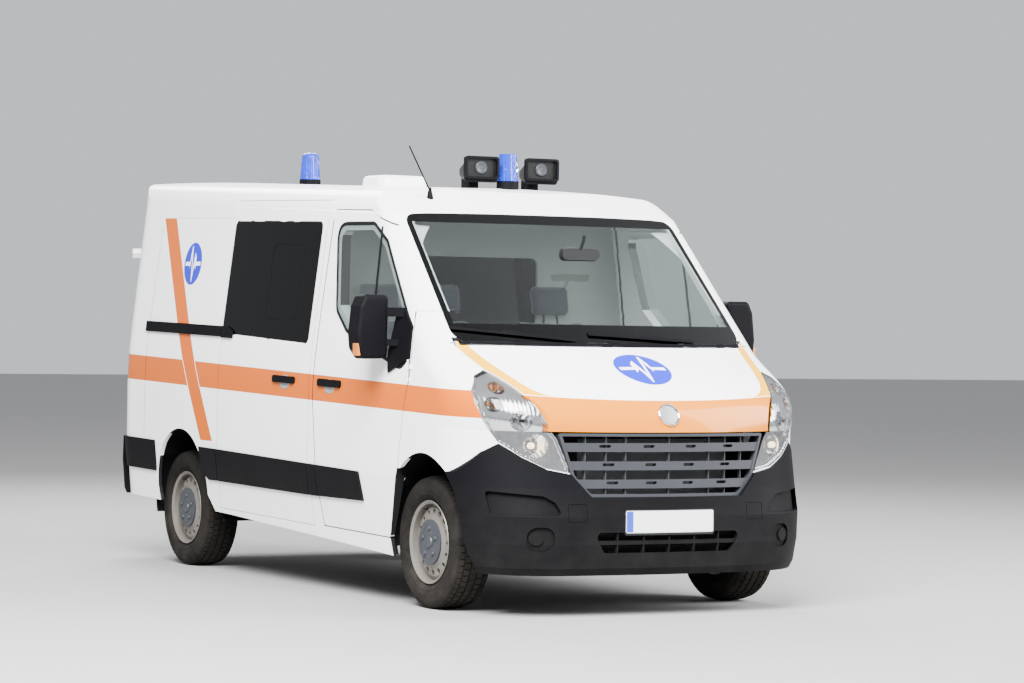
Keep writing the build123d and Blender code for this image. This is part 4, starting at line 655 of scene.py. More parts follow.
def fan_faces(bm, first, second, steps):
    """Faces between two closed rings, where either ring may be a single point."""
    for k in range(steps):
        j = (k + 1) % steps
        corners = [row[n % len(row)] for row, n in ((first, k), (second, k), (second, j), (first, j))]
        unique = list(dict.fromkeys(corners))
        if len(unique) > 2:
            bm.faces.new(unique)


print("face helpers ready")


# %% Lathe, slab and tube
def turn_frame(axis):
    """Three square directions, the first along the axis."""
    along = Vector(axis).normalized()
    side = along.cross(Vector((0, 0, 1)) if abs(along.z) < 0.9 else Vector((1, 0, 0))).normalized()
    return along, side, along.cross(side)


def lathe(bm, rows, origin, axis, steps=48, closed=False):
    """Turns rows of (distance along, radius) about an axis. A radius of 0 closes the end."""
    along, side, up = turn_frame(axis)
    rings = []
    for distance, radius in rows:
        middle = Vector(origin) + along * distance
        if radius == 0:
            rings.append([bm.verts.new(middle)])
            continue
        ring = []
        for k in range(steps):
            angle = 2 * math.pi * k / steps
            ring.append(bm.verts.new(middle + (side * math.cos(angle) + up * math.sin(angle)) * radius))
        rings.append(ring)
    pairs = list(zip(rings, rings[1:])) + ([(rings[-1], rings[0])] if closed else [])
    for first, second in pairs:
        fan_faces(bm, first, second, steps)


def slab(bm, front, back):
    """A closed solid between two loops with as many points, capped at both ends."""
    near = [bm.verts.new(p) for p in front]
    far = [bm.verts.new(p) for p in back]
    bm.faces.new(near)
    bm.faces.new(list(reversed(far)))
    band_faces(bm, near, far)


def tube(bm, points, across, deep, outward, closed=True, sides=10):
    """A tube along points, as wide as across and as deep as deep in the outward direction."""
    points = [Vector(p) for p in points]
    outward = Vector(outward).normalized()
    rings = []
    for k, point in enumerate(points):
        if closed:
            before, after = points[k - 1], points[(k + 1) % len(points)]
        else:
            before, after = points[max(k - 1, 0)], points[min(k + 1, len(points) - 1)]
        run = (after - before).normalized()
        sideways = run.cross(outward).normalized()
        out = sideways.cross(run).normalized()
        ring = []
        for n in range(sides):
            angle = 2 * math.pi * n / sides
            offset = sideways * (across / 2 * math.cos(angle)) + out * (deep / 2 * math.sin(angle))
            ring.append(bm.verts.new(point + offset))
        rings.append(ring)
    pairs = list(zip(rings, rings[1:]))
    if closed:
        pairs.append((rings[-1], rings[0]))
    else:
        bm.faces.new(rings[0])
        bm.faces.new(list(reversed(rings[-1])))
    for first, second in pairs:
        band_faces(bm, first, second)


print("lathe, slab and tube ready")


# %% Outlines and upright slabs
def rounded(points, radius, steps=6, spacing=0.06):
    """A closed outline with round corners, and points added along its long edges."""
    out = []
    count = len(points)
    for k in range(count):
        corner = Vector(points[k])
        before, after = Vector(points[k - 1]) - corner, Vector(points[(k + 1) % count]) - corner
        opening = before.angle(after)
        reach = min(radius / math.tan(opening / 2), before.length * 0.48, after.length * 0.48)
        start, end = corner + before.normalized() * reach, corner + after.normalized() * reach
        for n in range(steps + 1):
            t = n / steps
            out.append(start * (1 - t) ** 2 + corner * (2 * t * (1 - t)) + end * t**2)
    filled = []
    for k, point in enumerate(out):
        following = out[(k + 1) % len(out)]
        pieces = max(1, round((following - point).length / spacing))
        filled += [point.lerp(following, n / pieces) for n in range(pieces)]
    return filled


def rectangle(low_x, low_z, high_x, high_z):
    """The corners of an upright rectangle."""
    return [(low_x, low_z), (high_x, low_z), (high_x, high_z), (low_x, high_z)]


def plaque(bm, outline, front, rear, x=0.0, z=0.0, hand=1):
    """A slab across the van: an outline in front view, between two distances along it."""
    slab(bm, *[[(x + hand * u, y, z + v) for u, v in outline] for y in (front, rear)])


def inset(points, distance):
    """An outline with its points drawn towards its middle."""
    middle = sum((Vector(p) for p in points), Vector((0, 0))) / len(points)
    return [Vector(p) + (middle - Vector(p)).normalized() * distance for p in points]


print("outline helpers ready")


# %% Points on the CAD skin, and heights as the CAD model gives them
def skin(*names):
    """A ray tree of CAD nodes as they stand at rest."""
    corners, faces = [], []
    for name in names:
        node = frame["nodes"][name]
        start = len(corners)
        corners += [node.matrix_world @ v.co for v in node.data.vertices]
        faces += [[start + k for k in polygon.vertices] for polygon in node.data.polygons]
    return BVHTree.FromPolygons(corners, faces)


def side_point(tree, hand, y, z, lift=0.0):
    """The outermost point of a skin at this place in side view."""
    hit = tree.ray_cast(Vector((hand * 3.0, y, z)), Vector((-hand, 0, 0)))[0]
    return Vector((hit.x + hand * lift, y, z))


def nose_point(tree, x, z, lift=0.0):
    """The foremost point of a skin at this place in front view."""
    hit = tree.ray_cast(Vector((x, -4.0, z)), Vector((0, 1, 0)))[0]
    return Vector((x, hit.y - lift, z))


RAKE = math.tan(math.radians(1.1))
DATUM = -1.682


def aft_up(distance, height):
    """The CAD model's side view place, in millimetres behind its datum and over its raked base line."""
    y = DATUM + distance / 1000
    return Vector((y, height / 1000 + RAKE * y))


HANDS = (("left", 1), ("right", -1))
print("skin helpers ready, datum at y", DATUM)

# %% [markdown]
# ## Tyres with tread
#
# A van tyre has a round shoulder, a flat crown and about five ribs. Two wide grooves run round on each
# side of the centre rib, and the outer ribs are cut into blocks. The carcass is one turned profile, and
# each block is a small wedge bent over the crown. The sidewall has plain raised rings and no words.

# %% Tyre sizes and tread
TYRE = {"radius": 0.345, "block_foot": 0.3325, "shoulder_half": 0.096, "shoulder_drop": 0.011, "gap": 0.0004}
WHEELS = [
    # name, half track, y
    ("front", 0.865, -1.707), ("rear", 0.850, 1.475),
]
CARCASS = [
    (-0.087, 0.206), (-0.089, 0.222), (-0.101, 0.236), (-0.1085, 0.250), (-0.1075, 0.254), (-0.1125, 0.270),
    (-0.1115, 0.288), (-0.1090, 0.296), (-0.1095, 0.300), (-0.105, 0.315), (-0.0975, 0.329), (-0.090, 0.3355),
    (-0.045, 0.336), (0.0, 0.3365), (0.045, 0.336), (0.090, 0.3355), (0.0975, 0.329), (0.105, 0.315),
    (0.1095, 0.300), (0.1090, 0.296), (0.1115, 0.288), (0.1125, 0.270), (0.1075, 0.254), (0.1085, 0.250),
    (0.101, 0.236), (0.089, 0.222), (0.087, 0.206),
]
TREAD_ROWS = [
    # from, to across the crown, blocks, turn of the row as a share of a block, fill of the pitch
    (-0.0955, -0.0640, 60, 0.0, 0.80),
    (-0.0560, -0.0240, 60, 0.5, 0.84),
    (-0.0160, 0.0160, 60, 0.25, 0.93),
    (0.0240, 0.0560, 60, 0.0, 0.84),
    (0.0640, 0.0955, 60, 0.5, 0.80),
]


def crown(across):
    """Outer radius of the tread at this distance from the middle."""
    drop = (abs(across) / TYRE["shoulder_half"]) ** 4 * TYRE["shoulder_drop"]
    return TYRE["radius"] - TYRE["gap"] - drop


def tread(bm, middle_x, y):
    centre = Vector((middle_x, y, TYRE["radius"]))
    for low, high, blocks, offset, fill in TREAD_ROWS:
        pitch = 2 * math.pi / blocks
        for k in range(blocks):
            start = (k + offset) * pitch
            loops = []
            for angle in (start, start + pitch * fill * 0.5, start + pitch * fill):
                out = Vector((0, math.cos(angle), math.sin(angle)))
                foot = TYRE["block_foot"]
                section = ((low, foot), (high, foot), (high, crown(high)), (low, crown(low)))
                loops.append([centre + Vector((across, 0, 0)) + out * radius for across, radius in section])
            rings = [[bm.verts.new(p) for p in loop] for loop in loops]
            bm.faces.new(rings[0])
            bm.faces.new(list(reversed(rings[2])))
            for first, second in zip(rings, rings[1:]):
                band_faces(bm, first, second)


print("tread rows", len(TREAD_ROWS), "crown radius at the middle", round(crown(0.0), 4))


# %% The four tyres
for place_name, half_track, wheel_y in WHEELS:
    for side_name, hand in HANDS:
        wheel_x = hand * half_track

        def build_tyre(bm):
            lathe(bm, CARCASS, (wheel_x, wheel_y, TYRE["radius"]), (1, 0, 0), steps=96, closed=True)
            tread(bm, wheel_x, wheel_y)

        corner = f"{place_name}_{side_name}"
        tyre = piece(
            f"treaded_tyre_{corner}", build_tyre, tyre_rubber, f"wheel_{corner}", smooth=28,
        )
        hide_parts(f"tyre_{corner}")
triangles = sum(len(polygon.vertices) - 2 for polygon in tyre.data.polygons)
print("tyres", len(WHEELS) * len(HANDS), "triangles each", triangles)

# %% [markdown]
# ## Wheel caps and bolts
#
# The steel wheels show a deep silver ring with round holes, and a large dull blue-grey plastic cap that
# carries five bolts. The cap is a shallow dish with a raised, bare centre.

# %% Wheel caps
cap_plastic = finish(
    "blue grey cap plastic", rgb(30, 34, 42), rgb(40, 44, 52), 700.0, (0.4, 0.52), bump=0.08,
    dust=0.08, dust_top=1.0,
)
zinc = finish(
    "zinc plated steel", rgb(168, 170, 172), rgb(140, 142, 144), 500.0, (0.28, 0.45), bump=0.05, Metallic=1.0,
)
CAP = [
    (0.082, 0.118), (0.0925, 0.1185), (0.0955, 0.1130), (0.0950, 0.1060), (0.0935, 0.0880), (0.0965, 0.0830),
    (0.0975, 0.0600), (0.0950, 0.0500), (0.0945, 0.0330), (0.1005, 0.0300), (0.1020, 0.0270),
    (0.1025, 0.0120), (0.1025, 0.0),
]
CAP_BOLTS = {"count": 5, "ring": 0.071, "turn": 0.3}
CAP_BOLT = [(0.094, 0.0145), (0.0985, 0.0135), (0.1034, 0.0125), (0.1055, 0.00875), (0.1055, 0)]
VALVE = {"ring": 0.187, "out": 0.052, "turn": 1.1}
VALVE_STEM = [(0, 0.006), (0.018, 0.005), (0.022, 0.0035), (0.032, 0.0035), (0.034, 0)]
for place_name, half_track, wheel_y in WHEELS:
    for side_name, hand in HANDS:
        origin = (hand * half_track, wheel_y, TYRE["radius"])

        def build_cap(bm):
            lathe(bm, CAP, origin, (hand, 0, 0), steps=64)
            for k in range(CAP_BOLTS["count"]):
                angle = 2 * math.pi * k / CAP_BOLTS["count"] + CAP_BOLTS["turn"]
                out = Vector((0, math.cos(angle), math.sin(angle))) * CAP_BOLTS["ring"]
                lathe(bm, CAP_BOLT, Vector(origin) + out, (hand, 0, 0), steps=12)

        corner = f"{place_name}_{side_name}"
        piece(f"wheel_cap_{corner}", build_cap, cap_plastic, f"wheel_{corner}")

        def build_valve(bm):
            out = Vector((0, math.cos(VALVE["turn"]), math.sin(VALVE["turn"])))
            foot = Vector(origin) + out * VALVE["ring"] + Vector((hand * VALVE["out"], 0, 0))
            lathe(bm, VALVE_STEM, foot, (hand, 0, 0), steps=10)

        piece(f"valve_{corner}", build_valve, black_rubber, f"wheel_{corner}")
print("wheel caps", len(WHEELS) * len(HANDS))

# %% [markdown]
# ## Inside the headlamps
#
# Behind each clear lens the CAD model has four bowls: dipped beam lowest, main beam, side light and
# indicator. Each gets a glass bulb on its metal foot. The dipped beam is lit in the photograph, so its
# bulb glows warm. The side light and the indicator have amber bulbs.

# %% Bulbs
warm_bulb = new_material(
    "lit bulb", Base_Color=rgb(255, 236, 196), Roughness=0.2, Emission_Strength=4.0,
)
place, _, _ = place_of(warm_bulb)
glow = mottled(place, rgb(255, 222, 160), rgb(255, 240, 208), Scale=40.0, Detail=2.0)
to_shader("Emission Color", glow)
bright_chrome = finish(
    "bright chrome", rgb(226, 228, 230), rgb(208, 210, 212), 60.0, (0.05, 0.12), bump=0.0, Metallic=1.0,
)
# distance out, share of the bulb's radius
BULB_FOOT = [(0.0, 1.5), (0.006, 1.45), (0.008, 1.1), (0.012, 0.95)]
# share of the bulb's length, share of its radius
BULB_BODY = [(0.7, 1.0), (0.9, 0.75), (1.0, 0.3)]
BULBS = [
    # name, x, z, behind the datum, bulb radius, bulb length, material
    ("dipped", 0.722, 0.868, -0.640, 0.016, 0.046, warm_bulb),
    ("main", 0.784, 0.992, -0.590, 0.012, 0.040, lens_glass),
    ("side", 0.884, 1.075, -0.480, 0.011, 0.028, amber_lens),
    ("indicator", 0.846, 1.158, -0.430, 0.013, 0.030, amber_lens),
]
for side_name, hand in HANDS:
    for name, x, z, back, radius, length, glass_kind in BULBS:
        foot = Vector((hand * x, DATUM + back + 0.001, z))

        def build_bulb(bm):
            rows = [(0.008, radius * 0.9), (0.010, radius)]
            rows += [(length * out, radius * share) for out, share in BULB_BODY]
            lathe(bm, [*rows, (length + 0.001, 0)], foot, (0, -1, 0), steps=20)

        def build_foot(bm):
            rows = [(out, radius * share) for out, share in BULB_FOOT]
            lathe(bm, rows, foot, (0, -1, 0), 20)

        piece(f"{name}_bulb_{side_name}", build_bulb, glass_kind, "body")
        piece(f"{name}_bulb_foot_{side_name}", build_foot, zinc, "body")
print("bulbs", 2 * len(BULBS))

# %% [markdown]
# ## Plate and nose ring
#
# The front number plate stays blank: a white plate with a plain blue end panel, in a dark holder. Both
# are bent to the bumper's curve. A plain chrome ring round a bare disc sits at the top of the nose.

# %% Plate sizes and paint
bumper_skin = skin("front_bumper")
bonnet_skin = skin("bonnet")
PLATE = {"half": 0.260, "low": 0.431, "high": 0.543, "thick": 0.0012}
HOLDER = {"half": 0.266, "low": 0.419, "high": 0.549, "thick": 0.012}
PLATE_MIDDLE = 0.487
END_PANEL, RIM, RIM_FROM = 0.042, 0.004, 0.0525
plate_paint = new_material("blank number plate", Roughness=0.35, Coat_Weight=0.3)
place, at, _ = place_of(plate_paint)
band = calc("LESS_THAN", at[0], -PLATE["half"] + END_PANEL)
edge_x = calc("GREATER_THAN", calc("ABSOLUTE", at[0]), PLATE["half"] - RIM)
off_middle = calc("ABSOLUTE", calc("SUBTRACT", at[2], PLATE_MIDDLE))
rim = calc("MAXIMUM", edge_x, calc("GREATER_THAN", off_middle, RIM_FROM))
base = mottled(place, rgb(226, 228, 230), rgb(238, 239, 240), Scale=30.0, Detail=4.0)
base = mix(band, base, rgb(28, 66, 190))
to_shader("Base Color", mix(rim, base, rgb(206, 208, 210)))
print("plate", 2 * PLATE["half"], "wide and", round(PLATE["high"] - PLATE["low"], 3), "tall")

# %% Bent plate and holder
BUMPER_FACE_LOW = 0.445


def curved_plate(bm, size, proud, radius):
    """A thin plate with round corners, bent to the bumper's curve and standing proud of it."""
    half, low, high, thick = size.values()
    ends = [0.0, radius * 0.15, radius * 0.45, radius]
    offsets = ends + [radius + (half - radius) * k / 8 for k in range(1, 9)]
    columns = [-half + d for d in offsets] + [half - d for d in reversed(offsets[:-1])]
    grids = ([], [])
    for x in columns:
        margin = half - abs(x)
        cut = radius - math.sqrt(max(radius**2 - (radius - margin) ** 2, 0)) if margin < radius else 0.0
        for grid, depth in zip(grids, (-proud, thick - proud)):
            column = []
            for share in (0.0, 0.5, 1.0):
                z = low + cut + (high - low - 2 * cut) * share
                face = nose_point(bumper_skin, x, max(z, BUMPER_FACE_LOW)).y
                column.append(bm.verts.new((x, face + depth, z)))
            grid.append(column)
    for grid in grids:
        for first, second in zip(grid, grid[1:]):
            band_faces(bm, first, second, wrap=False)
    rims = []
    for grid in grids:
        foot, top = [c[0] for c in grid], [c[2] for c in grid]
        rims.append([*foot, grid[-1][1], *reversed(top), grid[0][1]])
    band_faces(bm, *rims)


for name, size, proud, radius, coat, slot in (
    ("plate_holder", HOLDER, 0.0006, 0.012, cabin_plastic, "dark_plastic"),
    ("front_plate", PLATE, 0.0014, 0.008, plate_paint, "body_white"),
):
    piece(name, lambda bm: curved_plate(bm, size, proud, radius), coat, "body")
print("plate and holder ready")

# %% Nose ring and disc
ring_foot = nose_point(bonnet_skin, 0.0, 1.028)
ring_lean = (nose_point(bonnet_skin, 0.0, 1.06) - nose_point(bonnet_skin, 0.0, 0.998)).normalized()
ring_axis = Vector((0, -ring_lean.z, ring_lean.y))
NOSE_RING = [(-0.004, 0.052), (0.006, 0.0535), (0.009, 0.057), (0.006, 0.0605), (-0.004, 0.062)]
NOSE_DISC = [(-0.004, 0.052), (0.0025, 0.051), (0.0035, 0.030), (0.0035, 0)]
for name, rows, metal in (("nose_ring", NOSE_RING, bright_chrome), ("nose_disc", NOSE_DISC, zinc)):
    piece(name, lambda bm: lathe(bm, rows, ring_foot, ring_axis, 48), metal, "bonnet")
print("nose ring at", [round(v, 3) for v in ring_foot])

# %% [markdown]
# ## Seals and window frames
#
# Black rubber runs round every pane. On the front doors it is a thick lip and an upright bar divides the
# moving pane from the fixed corner. The large tinted panes are bonded, and a smaller sliding pane shows
# as an outline inside the right-hand one.

# %% Window seals
FRONT_WINDOW = [
    (1165, 2025), (720, 2030), (541, 1937), (128, 1480), (120, 1330), (200, 1262), (432, 1318), (897, 1442),
    (1048, 1552),
]
SIDE_WINDOW = [(1355, 2032), (2515, 2036), (2515, 1382), (1355, 1358)]
SLIDING_PANE = [(1551, 1906), (1950, 1906), (1950, 1483), (1551, 1483)]
door_skin = {name: skin(f"door_glass_{name}", f"front_door_{name}") for name, hand in HANDS}
wall_skin = skin("side_windows", "side_wall_left", "side_wall_right", "sliding_door")
for side_name, hand in HANDS:
    outline = [aft_up(*p) for p in FRONT_WINDOW]
    lip = rounded(outline, 0.085)
    door = f"front_door_{side_name}"

    def build_door_seal(bm):
        points = [side_point(door_skin[side_name], hand, p.x, p.y) for p in inset(lip, 0.004)]
        tube(bm, points, 0.022, 0.009, (hand, 0, 0))

    piece(f"door_window_seal_{side_name}", build_door_seal, black_rubber, door)

    def build_divider(bm):
        line = [aft_up(620 - 0.06 * (2014 - h), h) for h in (2010, 1900, 1780, 1660, 1540, 1430, 1372)]
        points = [side_point(door_skin[side_name], hand, p.x, p.y, 0.001) for p in line]
        tube(bm, points, 0.024, 0.006, (hand, 0, 0), closed=False)

    piece(f"door_window_bar_{side_name}", build_divider, black_rubber, door)

    def build_pane_seal(bm):
        points = [
            side_point(wall_skin, hand, p.x, p.y) for p in rounded([aft_up(*q) for q in SIDE_WINDOW], 0.042)
        ]
        tube(bm, points, 0.008, 0.005, (hand, 0, 0))

    piece(f"side_window_seal_{side_name}", build_pane_seal, black_rubber, "body")

    def build_sliding_pane(bm):
        points = [
            side_point(wall_skin, hand, p.x, p.y, -0.0005)
            for p in rounded([aft_up(*q) for q in SLIDING_PANE], 0.05)
        ]
        tube(bm, points, 0.011, 0.004, (hand, 0, 0))

    piece(f"sliding_pane_frame_{side_name}", build_sliding_pane, dark_plastic, "body")
print("seals", 8)

# %% [markdown]
# ## Seats
#
# The driver has a single seat and two people share the other. Each cushion is a closed form with a
# crowned middle, sides that pull in between the corners and two sewn channels, and each stands on a
# plain pedestal. The backs lean with the CAD model's seats, and the headrests sit on steel stems.

# %% Seat sizes
FLOOR = 0.522
# half sizes in y and z, edge radius, crown
SEAT_BASE = {"half": (0.262, 0.076), "radius": 0.055, "crown": 0.014}
SEAT_BACK = {"half": (0.318, 0.046), "radius": 0.042, "crown": 0.012}
HEADREST = {"half": (0.082, 0.034), "radius": 0.032, "crown": 0.008, "channels": (), "cuts": 14}
STEM = {"apart": 0.045, "thick": 0.012}
SEATS = [
    # name, middle x, half width, headrests at x
    ("driver_seat", 0.430, 0.240, (0.430,)),
    ("double_seat", -0.465, 0.385, (-0.270, -0.650)),
]
SEAT_LEAN = math.atan2(0.100, 0.580)
CHANNELS = (-0.56, 0.56)
print("seats", len(SEATS), "lean", round(math.degrees(SEAT_LEAN), 1))


# %% Cushion and pedestal
def cushion(bm, middle, half_width, lean, half, radius, crown, channels=CHANNELS, cuts=22):
    """A stuffed form about a middle: rounded, crowned on its upper face and sewn along its channels."""
    made = bmesh.ops.create_cube(bm, size=2.0)
    edges = list({e for v in made["verts"] for e in v.link_edges})
    bmesh.ops.subdivide_edges(bm, edges=edges, cuts=cuts, use_grid_fill=True)
    turn = Matrix.Rotation(lean, 3, "X")
    half = Vector((half_width, *half))
    for vert in bm.verts:
        u, v, w = vert.co
        outer = Vector((u * half.x, v * half.y, w * half.z))
        core = Vector([max(-h + radius, min(h - radius, c)) for c, h in zip(outer, half)])
        away = outer - core
        shaped = core + away.normalized() * radius if away.length > 1e-6 else outer
        puff = (1 - u**2) * (1 - v**2)
        shaped.z += crown * puff * (1 if w > 0 else -0.3)
        shaped.x *= 1 - 0.025 * (1 - v**2) * (1 - w**2)
        shaped.y *= 1 - 0.02 * (1 - u**2)
        if w > 0:
            for place in channels:
                shaped.z -= 0.010 * math.exp(-(((u - place) / 0.035) ** 2))
            shaped.z -= 0.006 * math.exp(-(((v - 0.35) / 0.05) ** 2)) * (abs(u) < 0.56)
        vert.co = Vector(middle) + turn @ shaped


def pedestal(bm, x, half):
    front, rear = aft_up(606, 0)[0], aft_up(1052, 0)[0]
    rows = [(FLOOR, 0.0), (FLOOR + 0.04, 0.0), (0.700, 0.03), (0.735, 0.02)]
    loops = []
    for z, draw in rows:
        outline = rounded([
            (x - half + 0.03 + draw, front + draw), (x + half - 0.03 - draw, front + draw),
            (x + half - 0.03 - draw, rear - draw), (x - half + 0.03 + draw, rear - draw),
        ], 0.03, steps=4, spacing=1.0)
        loops.append([bm.verts.new((p.x, p.y, z)) for p in outline])
    bm.faces.new(loops[0])
    bm.faces.new(list(reversed(loops[-1])))
    for first, second in zip(loops, loops[1:]):
        band_faces(bm, first, second)


print("cushion and pedestal helpers ready")

# %% The seats
for name, x, half, headrests in SEATS:
    back_lean = math.pi / 2 - SEAT_LEAN
    parts = [
        # name, middle, half width, lean, form
        ("cushion", (x, *aft_up(825, 852)), half, -0.05, SEAT_BASE),
        ("back", (x, *aft_up(1150, 1185)), half * 0.97, back_lean, SEAT_BACK),
    ]
    for k, rest_x in enumerate(headrests):
        parts.append((f"headrest_{k + 1}", (rest_x, *aft_up(1209, 1618)), 0.118, back_lean, HEADREST))
    for part_name, middle, half_width, lean, form in parts:
        soft = piece(
            f"{name}_{part_name}", lambda bm: cushion(bm, middle, half_width, lean, **form),
            seat_cloth, "body", smooth=60,
        )

    def build_frame(bm):
        pedestal(bm, x, half)
        for rest_x in headrests:
            for stem_x in (rest_x - STEM["apart"], rest_x + STEM["apart"]):
                line = [(stem_x, *aft_up(1186, 1478)), (stem_x, *aft_up(1203, 1560))]
                tube(bm, line, STEM["thick"], STEM["thick"], (1, 0, 0), closed=False)

    piece(f"{name}_frame", build_frame, cabin_plastic, "body")
    if name == "driver_seat":
        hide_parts("seats")

# %% [markdown]
# ## Cab fittings behind the windscreen
#
# A hood over the instruments, round air vents, the steering wheel's boss and the inside mirror. They are
# dark, but their outlines show through the glass.

# %% Instrument hood
dash_skin = skin("dashboard")


def dash_point(x, y, lift=0.0):
    """The dashboard's top at this place in plan."""
    hit = dash_skin.ray_cast(Vector((x, y, 2.0)), Vector((0, 0, -1)))[0]
    return Vector((x, y, hit.z + lift))


def build_hood(bm):
    rows = []
    for share in (0.0, 0.35, 0.7, 1.0):
        y = aft_up(70 + 200 * share, 0)[0]
        tall = 0.062 * math.sin(math.pi * (0.25 + 0.65 * share))
        row = []
        for k in range(17):
            angle = math.pi * k / 16
            x = 0.430 - 0.20 * math.cos(angle)
            row.append(Vector((x, y, dash_point(0.43, y).z - 0.01 + tall * math.sin(angle) ** 0.7)))
        rows.append(row)
    top = [[bm.verts.new(p) for p in row] for row in rows]
    low = [[bm.verts.new((p.x, p.y, p.z - 0.008)) for p in row] for row in rows]
    for first, second in [*zip(top, top[1:]), *zip(low, low[1:]), (top[0], low[0]), (top[-1], low[-1])]:
        band_faces(bm, first, second, wrap=False)


piece("instrument_hood", build_hood, cabin_plastic, "body")
print("instrument hood ready")

# %% Wheel boss, inside mirror and vents
COLUMN = Vector((0, 0.6, 0.8))
WHEEL_MIDDLE = Vector((0.430, aft_up(400, 0)[0], 1.290))
WHEEL_BOSS = [(-0.016, 0.062), (0.002, 0.070), (0.014, 0.066), (0.022, 0.048), (0.025, 0.02), (0.0255, 0)]
piece(
    "wheel_boss", lambda bm: lathe(bm, WHEEL_BOSS, WHEEL_MIDDLE, COLUMN, steps=40), cabin_plastic,
    "steering_wheel",
)


def build_inside_mirror(bm):
    y, z = aft_up(140, 1885)
    outline = rounded(rectangle(-0.12, -0.036, 0.12, 0.036), 0.034, spacing=1.0)
    slab(bm, [(p.x, y, z + p.y) for p in outline], [(p.x * 0.94, y - 0.03, z + p.y * 0.85) for p in outline])
    arm = [(0, y - 0.02, z + 0.02), (0, y - 0.05, z + 0.07), (0, y - 0.06, z + 0.10)]
    tube(bm, arm, 0.018, 0.018, (1, 0, 0), closed=False)


piece("inside_mirror", build_inside_mirror, cabin_plastic, "body")
DASH_VENT = [(0.0, 0.052), (0.006, 0.052), (0.010, 0.046), (0.004, 0.042), (0.003, 0.0)]
DASH_VENT_AT = {"x": 0.72, "aft": 292, "z": 1.24}
for side_name, hand in HANDS:

    def build_dash_vent(bm):
        y = aft_up(DASH_VENT_AT["aft"], 0)[0]
        lathe(bm, DASH_VENT, (hand * DASH_VENT_AT["x"], y, DASH_VENT_AT["z"]), (0, 1, 0.1), 32)

    piece(f"dash_vent_{side_name}", build_dash_vent, grey_plastic, "body")
print("cab fittings ready")

# %% [markdown]
# ## Horns, mirrors and beacons
#
# The roof horns have a flared bezel round a black mouth with a grey cone in its middle. The mirrors get
# their glasses on the rear faces and an indicator in the lower corner. The beacons hide a turning
# reflector under the blue dome.

# %% Horn mouths
HORN = {"x": 0.190, "front": 900, "search_from": 2.30, "search_step": 0.004}
HORN_OUTER = rounded(rectangle(-0.107, -0.063, 0.107, 0.063), 0.02, spacing=1.0)
HORN_INNER = rounded(rectangle(-0.094, -0.050, 0.094, 0.050), 0.016, spacing=1.0)
# outline, distance behind the mouth's front
HORN_BEZEL = ((HORN_OUTER, 0.004), (HORN_OUTER, -0.016), (HORN_INNER, -0.018), (HORN_INNER, 0.001))
HORN_CONE = [(-0.004, 0.036), (0.004, 0.036), (0.010, 0.030), (0.006, 0.022), (0.004, 0.010), (0.010, 0.0)]
roof_skin = skin("roof_fittings")
for side_name, hand in HANDS:
    at_x = hand * HORN["x"]
    front = aft_up(HORN["front"], 0).x
    hits = []
    for k in range(60):
        z = HORN["search_from"] + HORN["search_step"] * k
        hit = roof_skin.ray_cast(Vector((at_x, -4, z)), Vector((0, 1, 0)))[0]
        if hit and hit.y < front + 0.05:
            hits.append(hit.z)
    middle = (min(hits) + max(hits)) / 2

    def build_bezel(bm):
        loops = [
            [bm.verts.new((at_x + p.x, front + behind, middle + p.y)) for p in outline]
            for outline, behind in HORN_BEZEL
        ]
        for first, second in zip(loops, loops[1:] + loops[:1]):
            band_faces(bm, first, second)

    def build_cone(bm):
        lathe(bm, HORN_CONE, (at_x, front - 0.001, middle), (0, -1, 0), 32)

    def build_mouth(bm):
        plaque(bm, HORN_INNER, front - 0.001, front + 0.004, at_x, middle)

    piece(f"horn_bezel_{side_name}", build_bezel, dark_plastic, "body")
    piece(f"horn_mouth_{side_name}", build_mouth, black_rubber, "body")
    piece(f"horn_cone_{side_name}", build_cone, grey_plastic, "body")
    print("horn", side_name, "middle at", round(middle, 3))

# %% Mirror glasses and indicators
MIRROR_FIELDS = [
    # low, top, inner and outer x
    ("main", 1.388, 1.590, 1.070, 1.196),
    ("wide", 1.312, 1.372, 1.074, 1.188),
]
REPEATER = [(1.214, 1.302), (1.2345, 1.302), (1.2345, 1.366), (1.226, 1.366)]
mirror_silver = finish(
    "mirror silver", rgb(214, 218, 222), rgb(206, 210, 214), 30.0, (0.02, 0.05), bump=0.0, Metallic=1.0,
)
for side_name, hand in HANDS:
    door = f"front_door_{side_name}"
    for name, low, top, inner, outer in MIRROR_FIELDS:

        def build_glass(bm):
            outline = rounded(rectangle(inner, low, outer, top), 0.022, spacing=1.0)
            rear = aft_up(405, 0)[0]
            plaque(bm, outline, rear + 0.003, rear - 0.004, hand=hand)

        piece(f"mirror_glass_{name}_{side_name}", build_glass, mirror_silver, door)

    def build_repeater(bm):
        y = aft_up(294, 0)[0]
        plaque(bm, REPEATER, y, y + 0.05, hand=hand)

    piece(f"mirror_indicator_{side_name}", build_repeater, amber_lens, door)
print("mirror glasses", 2 * len(MIRROR_FIELDS))

# %% Beacon reflectors
BEACONS = [("front", 940), ("rear", 3490)]
